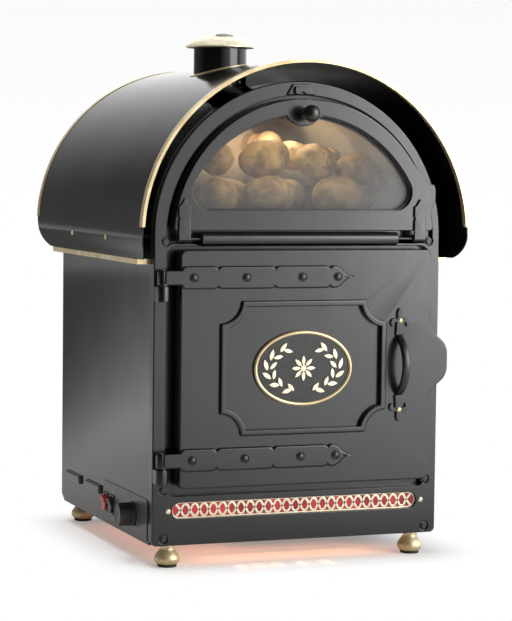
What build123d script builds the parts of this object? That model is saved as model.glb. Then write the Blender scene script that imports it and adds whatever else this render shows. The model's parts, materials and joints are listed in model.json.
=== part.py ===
from build123d import *
import math
import os

# Baked potato oven. Millimetres, +Z up, front towards -Y, origin on the floor at the middle of the
# overall box. A "depth" is measured back from the front face of the front casting.

# ---- driving dimensions ----
HANDLE_REACH = 52.0
ROOF_REAR = 528.5
TRIM_FACE = 1.0
TRIM_LIP = 2.2
FRONT = -(ROOF_REAR + TRIM_FACE - HANDLE_REACH) / 2

BODY_RADIUS = 228.5
ARCH_SPRING = 490.0
FLOOR_GAP = 34.0
SHEET = 1.2
CASTING_EDGE = 0.5
CASTING_THICK = 16.0
CASING_REAR = 478.0
FLANGE_WIDTH = 28.0
REAR_CHAMFER_HEIGHT = 10.0
REAR_CHAMFER_DEPTH = 14.8

ROOF_RADIUS = 259.2
ROOF_THICK = 1.5
ROOF_FRONT = -36.0
ROOF_BOTTOM = 456.0
ROOF_TUCK_RADIUS = 60.0
ROOF_FRONT_CORNER = 38.0
ROOF_REAR_CORNER = 58.0
ROOF_CORNER_RUNOUT = 1.0
TRIM_START = 504.0
TRIM_DEPTH = 12.0
STRIP_BOTTOM = 448.0
STRIP_SETBACK = 8.0
STRIP_THICK = 1.5
STRIP_OUTER = 249.4
STRIP_FRONT = 10.0
STRIP_REAR = 466.0
SPACER_DEPTHS = (139.0, 317.0)
SPACER_HEIGHT = 484.0
SPACER_END = 256.6
SPACER_RADIUS = 5.0
ROOF_SCREW_RADIUS = 2.0
ROOF_SCREW_HEAD = 4.0

FLUE_X = -50.0
FLUE_DEPTH = 220.0
FLUE_RADIUS = 41.4
FLUE_HOLE_CLEARANCE = 3.6
FLUE_COLLAR_RADIUS = 47.5
FLUE_COLLAR_THICK = 1.2
FLUE_BOTTOM = 660.0
FLUE_TOP = 775.0
CAP_RADIUS = 54.5
CAP_BOTTOM = 775.5
CAP_TOP = 797.0
CAP_THICK = 1.5
TONGUE_BOTTOM = 755.0
TONGUE_TOP = 786.5
TONGUE_ANGLES = (30, 150, 270)
TONGUE_WIDTH = 10.0
CAP_PLATE = (17.0, 12.0, 1.2)
CAP_PLATE_FORWARD = 19.0

FOOT_X = 197.4
FOOT_DEPTHS = (22.0, 458.0)
FOOT_NECK = 10.9
FOOT_NECK_BOTTOM = 27.0
FOOT_BELLY = 12.5
FOOT_SHOULDER = 21.0
FOOT_COVE = (12.0, 23.5)
FOOT_BULGE = 19.4
PAD_RADIUS = 14.5
PAD_HEIGHT = 4.0

OVEN_RECESS = (-209.0, 211.0, 107.0, 474.6)
OVEN_RECESS_DEPTH = 5.0
OVEN_RECESS_CORNER = 14.0
DOOR_GROOVE_DEPTH = 13.0
OVEN_GROOVE_INNER = (-190.0, 203.0, 121.5, 466.0)
DISPLAY_GROOVE_INNER = 203.5
DISPLAY_GROOVE_LIFT = 6.0
OVEN_OPENING = (-180.0, 180.0, 125.0, 455.0)
OVEN_DOOR = (-194.0, 207.0, 120.0, 470.0)
OVEN_DOOR_FRONT = -19.0
OVEN_DOOR_SKIN = -11.0
OVEN_DOOR_BACK = 3.0
DOOR_CORNER = 10.0
INNER_PLATE_THICK = 1.5
TAB_OUTER = 237.0
TAB_HEIGHTS = (253.0, 278.0, 324.0, 349.0)
TAB_BACK = -9.0
TAB_ROUND = 27.0
TAB_ROOT = 24.0
DOOR_WALL = 7.0
GASKET_OUTSET = (9.0, 4.5)
GASKET_CORNER = 8.0
DOOR_HOLLOW_CORNER = 5.0
DOOR_EDGE_ROUND = 2.5
BAND_CHAMFER = 1.6

PANEL_HALF_WIDTH = 133.0
PANEL_MIDDLE = 295.5
PANEL_HALF_HEIGHT = 100.0
PANEL_CORNER = 33.0
BAND_WIDTH = 9.0
BAND_FRONT = -24.0
FIELD_FRONT = -15.0
BADGE_MIDDLE = 293.8
BADGE_HALF = (79.0, 56.5)
BADGE_RIM = 6.0
BADGE_RIM_FRONT = -21.0
BADGE_FIELD_FRONT = -17.5
ORNAMENT_FRONT = -19.5
ROSETTE_EYE = 4.6
ROSETTE_PETALS = 8
ROSETTE_REACH = 11.5
PETAL_SCALE = 0.82
SPRAY_LEAVES = 6
SPRAY_START = 24
SPRAY_STEP = 25
SPRAY_HALF = (58.0, 36.5)
LEAF_SPLAY = 32
LEAF_SIDE = ((0, -9), (2.6, -5.5), (3.7, -1), (3.2, 3.5), (1.6, 7), (0, 9.5))
OUTER_LEAF = (2.6, 0.95)
INNER_LEAF = (0.84, 0.85)

STRAP_HEIGHTS = (162.5, 430.0)
STRAP_FRONT = -23.0
STRAP_HALF_HEIGHT = 16.8
STRAP_NECK_HALF = 11.0
STRAP_START = -194.0
STRAP_NOTCHES = (-137.0, -48.0, 40.0)
STRAP_TIP = 81.0
STRAP_SCREWS = (-175.0, -93.0, -4.5, 52.0)
STRAP_SCREW_RADIUS = 6.0
STRAP_SCREW_RISE = 1.8
STRAP_ROUND = 8.0
STRAP_NECK_OVERLAP = 9.0
STRAP_LEAF = ((-1, 5), (2, 1.2), (7, 0), (16, 3), (23, 9.5), (31, 14.2))
HINGE_X = -219.5
HINGE_DEPTH = -14.0
KNUCKLE_RADIUS = 8.5
LUG_RADIUS = 9.3
LUG_HEIGHT = 23.0
HINGE_PIN_RADIUS = 3.5
RUNNING_FIT = 0.05
END_FLOAT = 0.3

HANDLE_X = 155.0
HANDLE_SCREW_HEIGHTS = (228.0, 363.0)
HANDLE_MIDDLE = 295.5
HANDLE_HALF_SPAN = 46.0
HANDLE_WIDTH = 12.0
HANDLE_BAR = 9.0
HANDLE_LEAF = (4.6, 9.5)
HANDLE_BOSS = 6.5
HANDLE_LOBE = (11.0, 6.0, 4.2)
HANDLE_BRIDGE = 5.0
HANDLE_TAIL = 22.0
HANDLE_PLATE_FRONT = -23.0

DISPLAY_RECESS_MIDDLE = (3.5, 485.0)
DISPLAY_RECESS_RADIUS = 213.5
DISPLAY_RECESS_BOTTOM = 479.0
DISPLAY_RECESS_DEPTH = 8.0
DISPLAY_OPENING_RADIUS = 188.0
DISPLAY_OPENING_BOTTOM = 507.0
DISPLAY_DOOR_MIDDLE = (4.0, 486.0)
DISPLAY_DOOR_RADIUS = 207.5
DISPLAY_DOOR_BOTTOM = 498.0
DISPLAY_DOOR_FRONT = -14.0
DISPLAY_DOOR_PLATE_BACK = -2.0
DISPLAY_DOOR_BACK = 6.0
WINDOW_SPRING = 473.0
WINDOW_RADIUS = 197.5
WINDOW_BOTTOM = 528.0
WINDOW_CORNER = 28.0
LOBE_MIDDLE = (-1.5, 687.2)
LOBE_RADIUS = 33.7
GLASS_RADIUS = 200.5
GLASS_BOTTOM = 522.0
GLASS_BACK = 1.5
RETAINER_BACK = 3.0
KNOB_HEIGHT = 671.0
KNOB_DEPTH = -38.0
KNOB_RADIUS = 12.8
KNOB_STEM_RADIUS = 5.0
KNOB_COLLAR = (9.0, 3.0)
CATCH_BOSS = ((-26, 698), (-16, 715), (11, 715), (20, 699), (-26, 698))
CATCH_BOSS_RISE = 3.0
CATCH_ARCH = (-14, 9, 699.5, 711)
CATCH_ARCH_CORNER = 3.0
CATCH_EYE = (-2.5, 697)
CATCH_EYE_RADIUS = 6.0
CATCH_FRONT = -8.0
EAR_POINTS = (
    (170, 592),
    (186, 592),
    (197.5, 575),
    (205, 569.5),
    (213.5, 567),
    (215.5, 558.5),
    (215, 541.5),
    (209.5, 533),
    (208, 520),
    (208, 510),
    (202, 501),
    (170, 501),
)
DISPLAY_EDGE_ROUND = 1.5
DISPLAY_FLANGE = 5.0
DISPLAY_FLANGE_CORNER = 4.0
WINDOW_STEP = 1.5
ROD_DEPTH = -10.0
ROD_HEIGHT = 486.0
ROD_RADIUS = 2.3
BARREL_ENDS = (-161.0, 152.0)
BARREL_RADIUS = 10.0
BRACKET_X = 188.0
BRACKET_WIDTH = 19.0
BRACKET_TIP = 546.0
BRACKET_FRONT = -18.0
BRACKET_EYE = 6.0
BRACKET_NECK_TOP = 514.0
BRACKET_LEAF = (505.0, 536.0)
BRACKET_SHOULDER = 530.0
BRACKET_POINT = (3.0, 541.0)
BRACKET_NOTCH = (516.0, 1.8)

SLOT_HEIGHT = 85.3
SLOT_HALF = 197.0
SLOT_RADIUS = 12.0
FRET_DEPTH = 4.5
FRET_THICK = 2.0
LENS_THICK = 3.0
FRET_LIP = 5.0
FRET_PITCH = 14.6
FRET_COUNT = 26
FRET_HALF_WIDTH = 6.4
FRET_ARC = 9.5
GRILLE_SCREW_X = 204.0
GRILLE_SCREW_HEAD = (3.0, 1.8)
GRILLE_SCREW_SHANK = (1.5, 12.0)
GLOW_LAMP_RADIUS = 6.0
GLOW_LAMP_HALF = 150.0
GLOW_LAMP_DEPTH = 45.0
GLOW_POST = (5.0, 8.0, 10.0)

BOLT_X = 211.0
BOLT_HEIGHTS = (44.5, 117.0, 481.7)
BOLT_FLATS = 8.0
BOLT_RADIUS = 3.0
COUNTERBORE_RADIUS = 7.0
COUNTERBORE_DEPTH = 3.0

LINER_HALF = 186.0
LINER_HEIGHTS = (119.0, 461.0)
LINER_REAR = 400.0
LINER_SHEET = 1.5
INSULATION = 16.0
RACK_HEIGHTS = (190.0, 270.0, 350.0)
RUNNER_WIDTH = 9.0
RUNNER_DEPTHS = (30.0, 360.0)
RUNNER_THICK = 1.5
RUNNER_FENCE = 10.0
RACK_WIRE = 2.0
RACK_BARS = 13
FAN_HEIGHT = 290.0
FAN_SHAFT_RADIUS = 4.0
FAN_BLADES = 10
FAN_DISC = (75.0, 392.0, 393.2)
FAN_BLADE = (34.0, 74.0, 0.6)
FAN_BLADE_FRONT = 375.0
FAN_SHAFT = (386.0, 440.0)
BAFFLE_HALF = 150.0
BAFFLE_HEIGHTS = (150.0, 430.0)
BAFFLE_DEPTHS = (368.0, 369.2)
BAFFLE_EYE = 50.0
BAFFLE_POST_INSET = 10.0
BAFFLE_POST_RADIUS = 3.0
MOTOR_FLANGE = (96.0, 2.0)
MOTOR_CASE = (38.0, 56.0)
MOTOR_BORE_DEPTH = 42.0
ELEMENT_RADIUS = 100.0
ELEMENT_HALF_WIDTH = 4.0
ELEMENT_DEPTH = 385.0
ELEMENT_ROUND = 3.0
ELEMENT_LEAD_ANGLES = (60, 120)
ELEMENT_LEAD_END = 14.0

DISPLAY_LINER_RADIUS = 200.0
DISPLAY_LINER_BOTTOM = 505.0
DISPLAY_LINER_REAR = 330.0
DISPLAY_FLOOR_TOP = 520.0
DISPLAY_FLOOR_HALF = 194.0
DISPLAY_FLOOR_DEPTHS = (18.0, 326.0)
DISPLAY_FLOOR_LEG = 188.0
FLOOR_HOLE_RADIUS = 4.0
FLOOR_HOLE_STEP = (20.0, 24.0)
FLOOR_HOLE_COUNT = (17, 12)
FLOOR_HOLE_START = 40.0
DISPLAY_LAMP = (45.0, 626.0)
LAMP_HOLDER = (18.0, 30.0)
LAMP_NECK = (12.0, 78.0)
LAMP_BULB_RADIUS = 22.0

PLATE_OUTER = BODY_RADIUS + 1.2
SWITCH_DEPTHS = (224.0, 192.0)
SWITCH_HEIGHT = 68.0
SWITCH_BEZEL = (22.0, 30.0)
BEZEL_RISE = 2.0
SWITCH_CAVITY_FLOOR = -210.0
SWITCH_BODY_END = -205.0
SPADE = (0.8, 5.0, 9.0)
SPADE_OFFSETS = (-8.0, 0.0, 8.0)
ROCKER_STUB_RADIUS = 1.5
ROCKER_STUB_REACH = 1.2
ROCKER_DEEP = (12.0, 9.5)
PLATE_DEPTHS = (22.0, 236.0)
PLATE_HEIGHTS = (38.0, 101.0)
THERMOSTAT_BOX = (224.0, 190.0)
THERMOSTAT_BOX_HALF = 25.0
SPINDLE_BORE_END = -200.0
SPINDLE_END = -202.0
KNOB_SKIRT = (18.5, 4.0)
KNOB_GRIP = (17.4, 25.0)
KNOB_FLUTES = 24
KNOB_FLUTE = (18.2, 1.4)
KNOB_SOCKET = 18.0
SWITCH_BODY = (20.0, 28.0)
SWITCH_CAVITY = (16.4, 24.6)
ROCKER_SIZE = (15.6, 21.2)
ROCKER_AXIS_X = -225.0
ROCKER_TILT = 9.0
THERMOSTAT_DEPTH = 87.0
THERMOSTAT_HEIGHT = 70.0
SPINDLE_RADIUS = 3.0
BUSH_RADIUS = 5.0
LOUVRE_DEPTHS = (292.5, 402.5)
LOUVRE_HEIGHT = 82.0
LOUVRE_SIZE = (75.0, 14.0)
LOUVRE_RISE = 4.5

GLAND_X = -150.0
GLAND_HEIGHT = 75.0
GLAND_BORE = 4.0
GLAND_FLANGE = (12.0, 5.0)
GLAND_NUT = (9.0, 14.0)
GLAND_WALL = 3.0
GLAND_INSIDE = 6.0
VENT_ROWS = 5
VENT_X = 110.0
VENT_BOTTOM = 150.0
VENT_STEP = 16.0
VENT_SLOT = (90.0, 6.0)
BASE_SLOT = (30.0, 6.0)
BASE_SLOT_STEP = 24.0
BASE_SLOT_COLUMNS = 5
BASE_SLOT_DEPTHS = (60.0, 100.0, 140.0, 180.0)


# ---- helpers ----
def across(outline, front, back):
    """A solid from an outline over X and Z, between two depths."""
    plane = Plane.XZ.offset(-(FRONT + front))
    return extrude(plane * outline, amount=front - back)


def along(outline, left, right):
    """A solid from an outline over depth and Z, between two X positions."""
    plane = Plane.YZ.offset(left)
    return extrude(plane * Pos(FRONT, 0) * outline, amount=right - left)


def level(outline, bottom, top):
    """A solid from a plan outline over X and depth, between two heights."""
    plane = Plane.XY.offset(bottom)
    return extrude(plane * Pos(0, FRONT) * outline, amount=top - bottom)


def slab(left, right, front, back, bottom, top):
    """A block between two X positions, two depths and two heights."""
    middle = ((left + right) / 2, FRONT + (front + back) / 2, (bottom + top) / 2)
    return Pos(*middle) * Box(right - left, back - front, top - bottom)


def across_rod(radius, x, z, front, back):
    return across(Pos(x, z) * Circle(radius), front, back)


def along_rod(radius, depth, z, left, right):
    return along(Pos(depth, z) * Circle(radius), left, right)


def upright_rod(radius, x, depth, bottom, top):
    return level(Pos(x, depth) * Circle(radius), bottom, top)


def both_sides(solid):
    """The solid and its mirror image on the other side of the oven."""
    return Part() + [solid, mirror(solid, about=Plane.YZ)]


def rectangle(left, right, bottom, top):
    return Pos((left + right) / 2, (bottom + top) / 2) * Rectangle(right - left, top - bottom)


def rounded(left, right, bottom, top, corner):
    width = right - left
    height = top - bottom
    return Pos((left + right) / 2, (bottom + top) / 2) * RectangleRounded(width, height, corner)


def arched(radius, bottom):
    """A round-topped outline of the oven's body."""
    legs = rectangle(-radius, radius, bottom, ARCH_SPRING)
    return legs + Pos(0, ARCH_SPRING) * Circle(radius)


def segment(middle, radius, bottom, corner):
    """A circle cut off flat at the bottom, with its two lower corners rounded."""
    cutter = rectangle(middle[0] - 2 * radius, middle[0] + 2 * radius, middle[1] - 2 * radius, bottom)
    outline = Pos(*middle) * Circle(radius) - cutter
    return fillet(outline.vertices(), corner)


def save(shape, name):
    shape.label = name
    export_step(shape, os.path.join("parts", name + ".step"))


# ---- the cast front ----
def catch_boss_outline():
    return make_face(Polyline(*CATCH_BOSS))


def front_casting():
    outline = arched(BODY_RADIUS + CASTING_EDGE, FLOOR_GAP)
    outline = fillet(outline.vertices().group_by(Axis.Y)[0], 8)
    casting = across(outline, 0, CASTING_THICK)
    casting = fillet(casting.faces().sort_by(Axis.Y)[0].outer_wire().edges(), 2)
    oven_recess = rounded(*OVEN_RECESS, OVEN_RECESS_CORNER)
    casting -= across(oven_recess, 0, OVEN_RECESS_DEPTH)
    casting -= across(oven_recess - rounded(*OVEN_GROOVE_INNER, DOOR_CORNER), 0, DOOR_GROOVE_DEPTH)
    casting -= across(rounded(*OVEN_OPENING, 8), 0, CASTING_THICK)
    recess = segment(DISPLAY_RECESS_MIDDLE, DISPLAY_RECESS_RADIUS, DISPLAY_RECESS_BOTTOM, 6)
    casting -= across(recess, 0, DISPLAY_RECESS_DEPTH)
    groove_bottom = DISPLAY_DOOR_BOTTOM + DISPLAY_GROOVE_LIFT
    middle = DISPLAY_DOOR_MIDDLE
    ledge = rectangle(middle[0] - BODY_RADIUS, middle[0] + BODY_RADIUS, DISPLAY_RECESS_BOTTOM, groove_bottom)
    groove = recess - Pos(*middle) * Circle(DISPLAY_GROOVE_INNER) - ledge
    casting -= across(groove, 0, DOOR_GROOVE_DEPTH)
    opening = segment((0, 485), DISPLAY_OPENING_RADIUS, DISPLAY_OPENING_BOTTOM, 10)
    casting -= across(opening, 0, CASTING_THICK)
    slot = Pos(0, SLOT_HEIGHT) * SlotCenterToCenter(2 * (SLOT_HALF - SLOT_RADIUS), 2 * SLOT_RADIUS)
    casting -= across(slot, 0, CASTING_THICK)
    casting -= across(fret_outline(), FRET_DEPTH, CASTING_THICK)
    for x in (-GRILLE_SCREW_X, GRILLE_SCREW_X):
        casting -= across_rod(GRILLE_SCREW_SHANK[0], x, SLOT_HEIGHT, 0, CASTING_THICK)
    for x in (-BOLT_X, BOLT_X):
        for z in BOLT_HEIGHTS:
            casting -= across_rod(COUNTERBORE_RADIUS, x, z, 0, COUNTERBORE_DEPTH)
            casting -= across_rod(BOLT_RADIUS, x, z, 0, CASTING_THICK)
    boss = across(catch_boss_outline(), -CATCH_BOSS_RISE, 1)
    boss = chamfer(boss.faces().sort_by(Axis.Y)[0].edges(), 1)
    return casting + boss


def fret_outline():
    half = SLOT_HALF - SLOT_RADIUS
    slot = SlotCenterToCenter(2 * half + 2 * FRET_LIP, 2 * (SLOT_RADIUS + FRET_LIP))
    return Pos(0, SLOT_HEIGHT) * slot


def casting_bolts():
    bolts = []
    for x in (-BOLT_X, BOLT_X):
        for z in BOLT_HEIGHTS:
            hexagon = RegularPolygon(BOLT_FLATS / 2, 6, major_radius=False)
            head = across(Pos(x, z) * hexagon, -1, COUNTERBORE_DEPTH)
            bolts.append(head + across_rod(BOLT_RADIUS, x, z, COUNTERBORE_DEPTH, 26))
    return Part() + bolts


def display_catch():
    """A small arched keeper on the boss above the display door."""
    body = rounded(*CATCH_ARCH, CATCH_ARCH_CORNER)
    body -= Pos(*CATCH_EYE) * Circle(CATCH_EYE_RADIUS)
    return across(body, CATCH_FRONT, -CATCH_BOSS_RISE)


# ---- the grille slot ----
def fret_opening():
    """One pointed upright opening, between two arcs."""
    offset = FRET_ARC - FRET_HALF_WIDTH
    return Pos(-offset, 0) * Circle(FRET_ARC) & Pos(offset, 0) * Circle(FRET_ARC)


def fret_grille():
    outline = fret_outline()
    first = -(FRET_COUNT - 1) / 2 * FRET_PITCH
    opening = fret_opening()
    for index in range(FRET_COUNT):
        outline -= Pos(first + index * FRET_PITCH, SLOT_HEIGHT) * opening
    for index in range(FRET_COUNT - 1):
        middle = first + (index + 0.5) * FRET_PITCH
        for side in (-1, 1):
            outline -= Pos(middle, SLOT_HEIGHT + side * 8) * Circle(2.6)
    grille = across(outline, FRET_DEPTH, FRET_DEPTH + FRET_THICK)
    for x in (-GRILLE_SCREW_X, GRILLE_SCREW_X):
        grille -= across_rod(GRILLE_SCREW_SHANK[0], x, SLOT_HEIGHT, FRET_DEPTH, FRET_DEPTH + FRET_THICK)
    return grille


def red_lens():
    start = FRET_DEPTH + FRET_THICK
    lens = across(fret_outline(), start, start + LENS_THICK)
    for x in (-GRILLE_SCREW_X, GRILLE_SCREW_X):
        lens -= across_rod(GRILLE_SCREW_SHANK[0], x, SLOT_HEIGHT, start, start + LENS_THICK)
    return lens


def grille_screws():
    radius, rise = GRILLE_SCREW_HEAD
    screw = across_rod(radius, GRILLE_SCREW_X, SLOT_HEIGHT, -rise, 0)
    screw = fillet(screw.faces().sort_by(Axis.Y)[0].edges(), 1.2)
    shank_radius, length = GRILLE_SCREW_SHANK
    return both_sides(screw + across_rod(shank_radius, GRILLE_SCREW_X, SLOT_HEIGHT, 0, length))


def glow_lamp():
    """A tubular lamp on two posts behind the red lens."""
    half, half_depth, above = GLOW_POST
    end = GLOW_LAMP_HALF + half - 1
    front = GLOW_LAMP_DEPTH - half_depth
    rear = GLOW_LAMP_DEPTH + half_depth
    lamp = along_rod(GLOW_LAMP_RADIUS, GLOW_LAMP_DEPTH, SLOT_HEIGHT, -GLOW_LAMP_HALF, GLOW_LAMP_HALF)
    for x in (-end, end):
        lamp += slab(x - half, x + half, front, rear, FLOOR_GAP + SHEET, SLOT_HEIGHT + above)
    return lamp


# ---- casing ----
def side_outline():
    chamfer_start = CASING_REAR - SHEET - REAR_CHAMFER_DEPTH
    corner = FLOOR_GAP + REAR_CHAMFER_HEIGHT
    rear = CASING_REAR - SHEET
    points = [
        (CASTING_THICK, FLOOR_GAP),
        (chamfer_start, FLOOR_GAP),
        (rear, corner),
        (rear, ARCH_SPRING),
        (CASTING_THICK, ARCH_SPRING),
    ]
    return make_face(Polyline(*points, close=True))


def side_panel(side):
    """One flat side, with a front flange that the casting is bolted to."""
    outer = side * BODY_RADIUS
    inner = side * (BODY_RADIUS - SHEET)
    panel = along(side_outline(), min(outer, inner), max(outer, inner))
    edge = side * (BODY_RADIUS - FLANGE_WIDTH)
    left = min(edge, inner)
    right = max(edge, inner)
    panel += slab(left, right, CASTING_THICK, CASTING_THICK + SHEET, FLOOR_GAP, ARCH_SPRING)
    for z in BOLT_HEIGHTS:
        panel -= across_rod(BOLT_RADIUS, side * BOLT_X, z, CASTING_THICK, CASTING_THICK + SHEET)
    for depth in SPACER_DEPTHS:
        panel -= along_rod(ROOF_SCREW_RADIUS, depth, SPACER_HEIGHT, min(outer, inner), max(outer, inner))
    return panel


def louvre(depth):
    """A pressed hood, open along its lower edge."""
    length, height = LOUVRE_SIZE
    low = LOUVRE_HEIGHT - height / 2
    high = LOUVRE_HEIGHT + height / 2
    start = depth - length / 2
    end = depth + length / 2
    outer = -BODY_RADIUS - LOUVRE_RISE
    hood = slab(outer, -BODY_RADIUS, start, end, low, high)
    hood = fillet(hood.edges().group_by(Axis.X)[0], 3.5)
    hollow = slab(outer + SHEET, -BODY_RADIUS + SHEET, start + SHEET, end - SHEET, low, high - SHEET)
    return hood, hollow


def switch_cut(size, left, right):
    """Blocks of one cross-section through the panel, one at each switch."""
    cuts = []
    for depth in SWITCH_DEPTHS:
        outline = Pos(depth, SWITCH_HEIGHT) * Rectangle(*size)
        cuts.append(along(outline, left, right))
    return cuts


def control_holes(left, right):
    """What the control plate and the left panel leave open for the controls."""
    holes = switch_cut(SWITCH_BODY, left, right)
    holes.append(along_rod(BUSH_RADIUS, THERMOSTAT_DEPTH, THERMOSTAT_HEIGHT, left, right))
    return holes


def left_side_panel():
    panel = side_panel(-1)
    for depth in LOUVRE_DEPTHS:
        hood, hollow = louvre(depth)
        panel += hood
        panel -= hollow
    for hole in control_holes(-BODY_RADIUS, -BODY_RADIUS + SHEET):
        panel -= hole
    return panel


def control_plate():
    plate = along(rounded(*PLATE_DEPTHS, *PLATE_HEIGHTS, 2), -PLATE_OUTER, -BODY_RADIUS)
    for hole in control_holes(-PLATE_OUTER, -BODY_RADIUS):
        plate -= hole
    return plate


def arched_top_panel():
    ring = Pos(0, ARCH_SPRING) * (Circle(BODY_RADIUS) - Circle(BODY_RADIUS - SHEET))
    ring -= rectangle(-BODY_RADIUS, BODY_RADIUS, ARCH_SPRING - BODY_RADIUS, ARCH_SPRING)
    return across(ring, CASTING_THICK, CASING_REAR - SHEET) - flue_core()


def rear_panel():
    corner = FLOOR_GAP + REAR_CHAMFER_HEIGHT
    rear = CASING_REAR - SHEET
    panel = across(arched(BODY_RADIUS, corner), rear, CASING_REAR)
    toe = rear - REAR_CHAMFER_DEPTH
    points = [
        (toe, FLOOR_GAP),
        (rear, corner),
        (CASING_REAR, corner),
        (rear, corner + SHEET),
        (toe, FLOOR_GAP + SHEET),
    ]
    lip = make_face(Polyline(*points, close=True))
    panel += along(lip, -BODY_RADIUS + SHEET, BODY_RADIUS - SHEET)
    for row in range(VENT_ROWS):
        slot = Pos(VENT_X, VENT_BOTTOM + VENT_STEP * row) * SlotOverall(*VENT_SLOT)
        panel -= across(slot, rear, CASING_REAR)
    return panel - across_rod(GLAND_BORE + GLAND_WALL, GLAND_X, GLAND_HEIGHT, rear, CASING_REAR)


def base_plate():
    start = CASTING_THICK + SHEET
    end = CASING_REAR - SHEET - REAR_CHAMFER_DEPTH
    half = BODY_RADIUS - SHEET
    plate = slab(-half, half, start, end, FLOOR_GAP, FLOOR_GAP + SHEET)
    length, width = BASE_SLOT
    for column in range(-BASE_SLOT_COLUMNS, BASE_SLOT_COLUMNS + 1):
        for depth in BASE_SLOT_DEPTHS:
            slot = Pos(column * BASE_SLOT_STEP, depth) * SlotOverall(length, width, rotation=90)
            plate -= level(slot, FLOOR_GAP, FLOOR_GAP + SHEET)
    return plate


def cable_gland():
    rear = CASING_REAR
    flange_radius, flange = GLAND_FLANGE
    nut_radius, reach = GLAND_NUT
    inside = rear - GLAND_INSIDE
    gland = across_rod(flange_radius, GLAND_X, GLAND_HEIGHT, rear, rear + flange)
    gland += across_rod(nut_radius, GLAND_X, GLAND_HEIGHT, rear + flange, rear + reach)
    gland += across_rod(GLAND_BORE + GLAND_WALL, GLAND_X, GLAND_HEIGHT, inside, rear)
    return gland - across_rod(GLAND_BORE, GLAND_X, GLAND_HEIGHT, inside, rear + reach)


# ---- roof and flue ----
def roof_edge(radius, tuck):
    """One face of the roof: a tuck, the barrel and the other tuck, and where the face ends."""
    drop = ARCH_SPRING - ROOF_BOTTOM
    turn = math.asin(drop / tuck)
    centre = radius - tuck
    middle = (centre + tuck * math.cos(turn / 2), ARCH_SPRING - tuck * math.sin(turn / 2))
    foot = (centre + tuck * math.cos(turn), ROOF_BOTTOM)
    left = ThreePointArc((-foot[0], foot[1]), (-middle[0], middle[1]), (-radius, ARCH_SPRING))
    barrel = ThreePointArc((-radius, ARCH_SPRING), (0, ARCH_SPRING + radius), (radius, ARCH_SPRING))
    right = ThreePointArc((radius, ARCH_SPRING), middle, foot)
    return [left, barrel, right], foot


def roof_section():
    """The sheet's section: the barrel, with a tighter curve tucking under at each side."""
    outer, outer_foot = roof_edge(ROOF_RADIUS, ROOF_TUCK_RADIUS)
    inner, inner_foot = roof_edge(ROOF_RADIUS - ROOF_THICK, ROOF_TUCK_RADIUS - ROOF_THICK)
    left = Line((-outer_foot[0], ROOF_BOTTOM), (-inner_foot[0], ROOF_BOTTOM))
    right = Line(outer_foot, inner_foot)
    return make_face([*outer, right, *inner, left])


def roof_side_outline():
    """The roof seen from the side, with lower corners that run out just below the sheet's edge."""
    top = ARCH_SPRING + 2 * ROOF_RADIUS
    outline = rectangle(ROOF_FRONT, ROOF_REAR, ROOF_BOTTOM - ROOF_CORNER_RUNOUT, top)
    corners = outline.vertices().group_by(Axis.Y)[0].sort_by(Axis.X)
    outline = fillet(corners[0], ROOF_FRONT_CORNER)
    corners = outline.vertices().group_by(Axis.Y)[0].sort_by(Axis.X)
    return fillet(corners[-1], ROOF_REAR_CORNER)


def roof_sheet():
    sheet = across(roof_section(), ROOF_FRONT, ROOF_REAR)
    sheet &= along(roof_side_outline(), -2 * ROOF_RADIUS, 2 * ROOF_RADIUS)
    for side in (-1, 1):
        for depth in SPACER_DEPTHS:
            ends = sorted((side * SPACER_END, side * (ROOF_RADIUS + 2)))
            sheet -= along_rod(ROOF_SCREW_RADIUS, depth, SPACER_HEIGHT, *ends)
    hole = FLUE_RADIUS + FLUE_HOLE_CLEARANCE
    return sheet - upright_rod(hole, FLUE_X, FLUE_DEPTH, FLUE_BOTTOM, FLUE_TOP)


def trim_ring(outer, inner):
    ring = Pos(0, ARCH_SPRING) * (Circle(outer) - Circle(inner))
    return ring - rectangle(-outer, outer, ARCH_SPRING - outer, TRIM_START)


def roof_trim(edge, face, inside):
    """A channel folded round one arched edge of the roof sheet."""
    outer = ROOF_RADIUS + 1
    inner = ROOF_RADIUS - ROOF_THICK
    trim = across(trim_ring(outer, inner - TRIM_LIP), min(edge, face), max(edge, face))
    trim += across(trim_ring(outer, ROOF_RADIUS), min(edge, inside), max(edge, inside))
    return trim + across(trim_ring(inner, inner - 1), min(edge, inside), max(edge, inside))


def roof_trims():
    """The two brass edges of the roof, and the collar that covers the clearance round the flue."""
    front = roof_trim(ROOF_FRONT, ROOF_FRONT - TRIM_FACE, ROOF_FRONT + TRIM_DEPTH)
    rear = roof_trim(ROOF_REAR, ROOF_REAR + TRIM_FACE, ROOF_REAR - TRIM_DEPTH)
    shell = Circle(ROOF_RADIUS + FLUE_COLLAR_THICK) - Circle(ROOF_RADIUS)
    collar = across(Pos(0, ARCH_SPRING) * shell, FLUE_DEPTH - CAP_RADIUS, FLUE_DEPTH + CAP_RADIUS)
    collar &= upright_rod(FLUE_COLLAR_RADIUS, FLUE_X, FLUE_DEPTH, FLUE_BOTTOM, FLUE_TOP)
    return Part() + [front, rear, collar - flue_core()]


def side_strips():
    """Brass channels that the lower edges of the roof stand on."""
    top = ROOF_BOTTOM
    start = STRIP_FRONT + STRIP_SETBACK
    thick = STRIP_THICK
    strip = slab(BODY_RADIUS, STRIP_OUTER, start, STRIP_REAR, STRIP_BOTTOM, STRIP_BOTTOM + thick)
    strip += slab(STRIP_OUTER - thick, STRIP_OUTER, start, STRIP_REAR, STRIP_BOTTOM, top)
    strip += slab(BODY_RADIUS, BODY_RADIUS + thick, start, STRIP_REAR, STRIP_BOTTOM, top)
    strip += slab(BODY_RADIUS, STRIP_OUTER, start, start + thick, STRIP_BOTTOM, top)
    return both_sides(strip)


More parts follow.
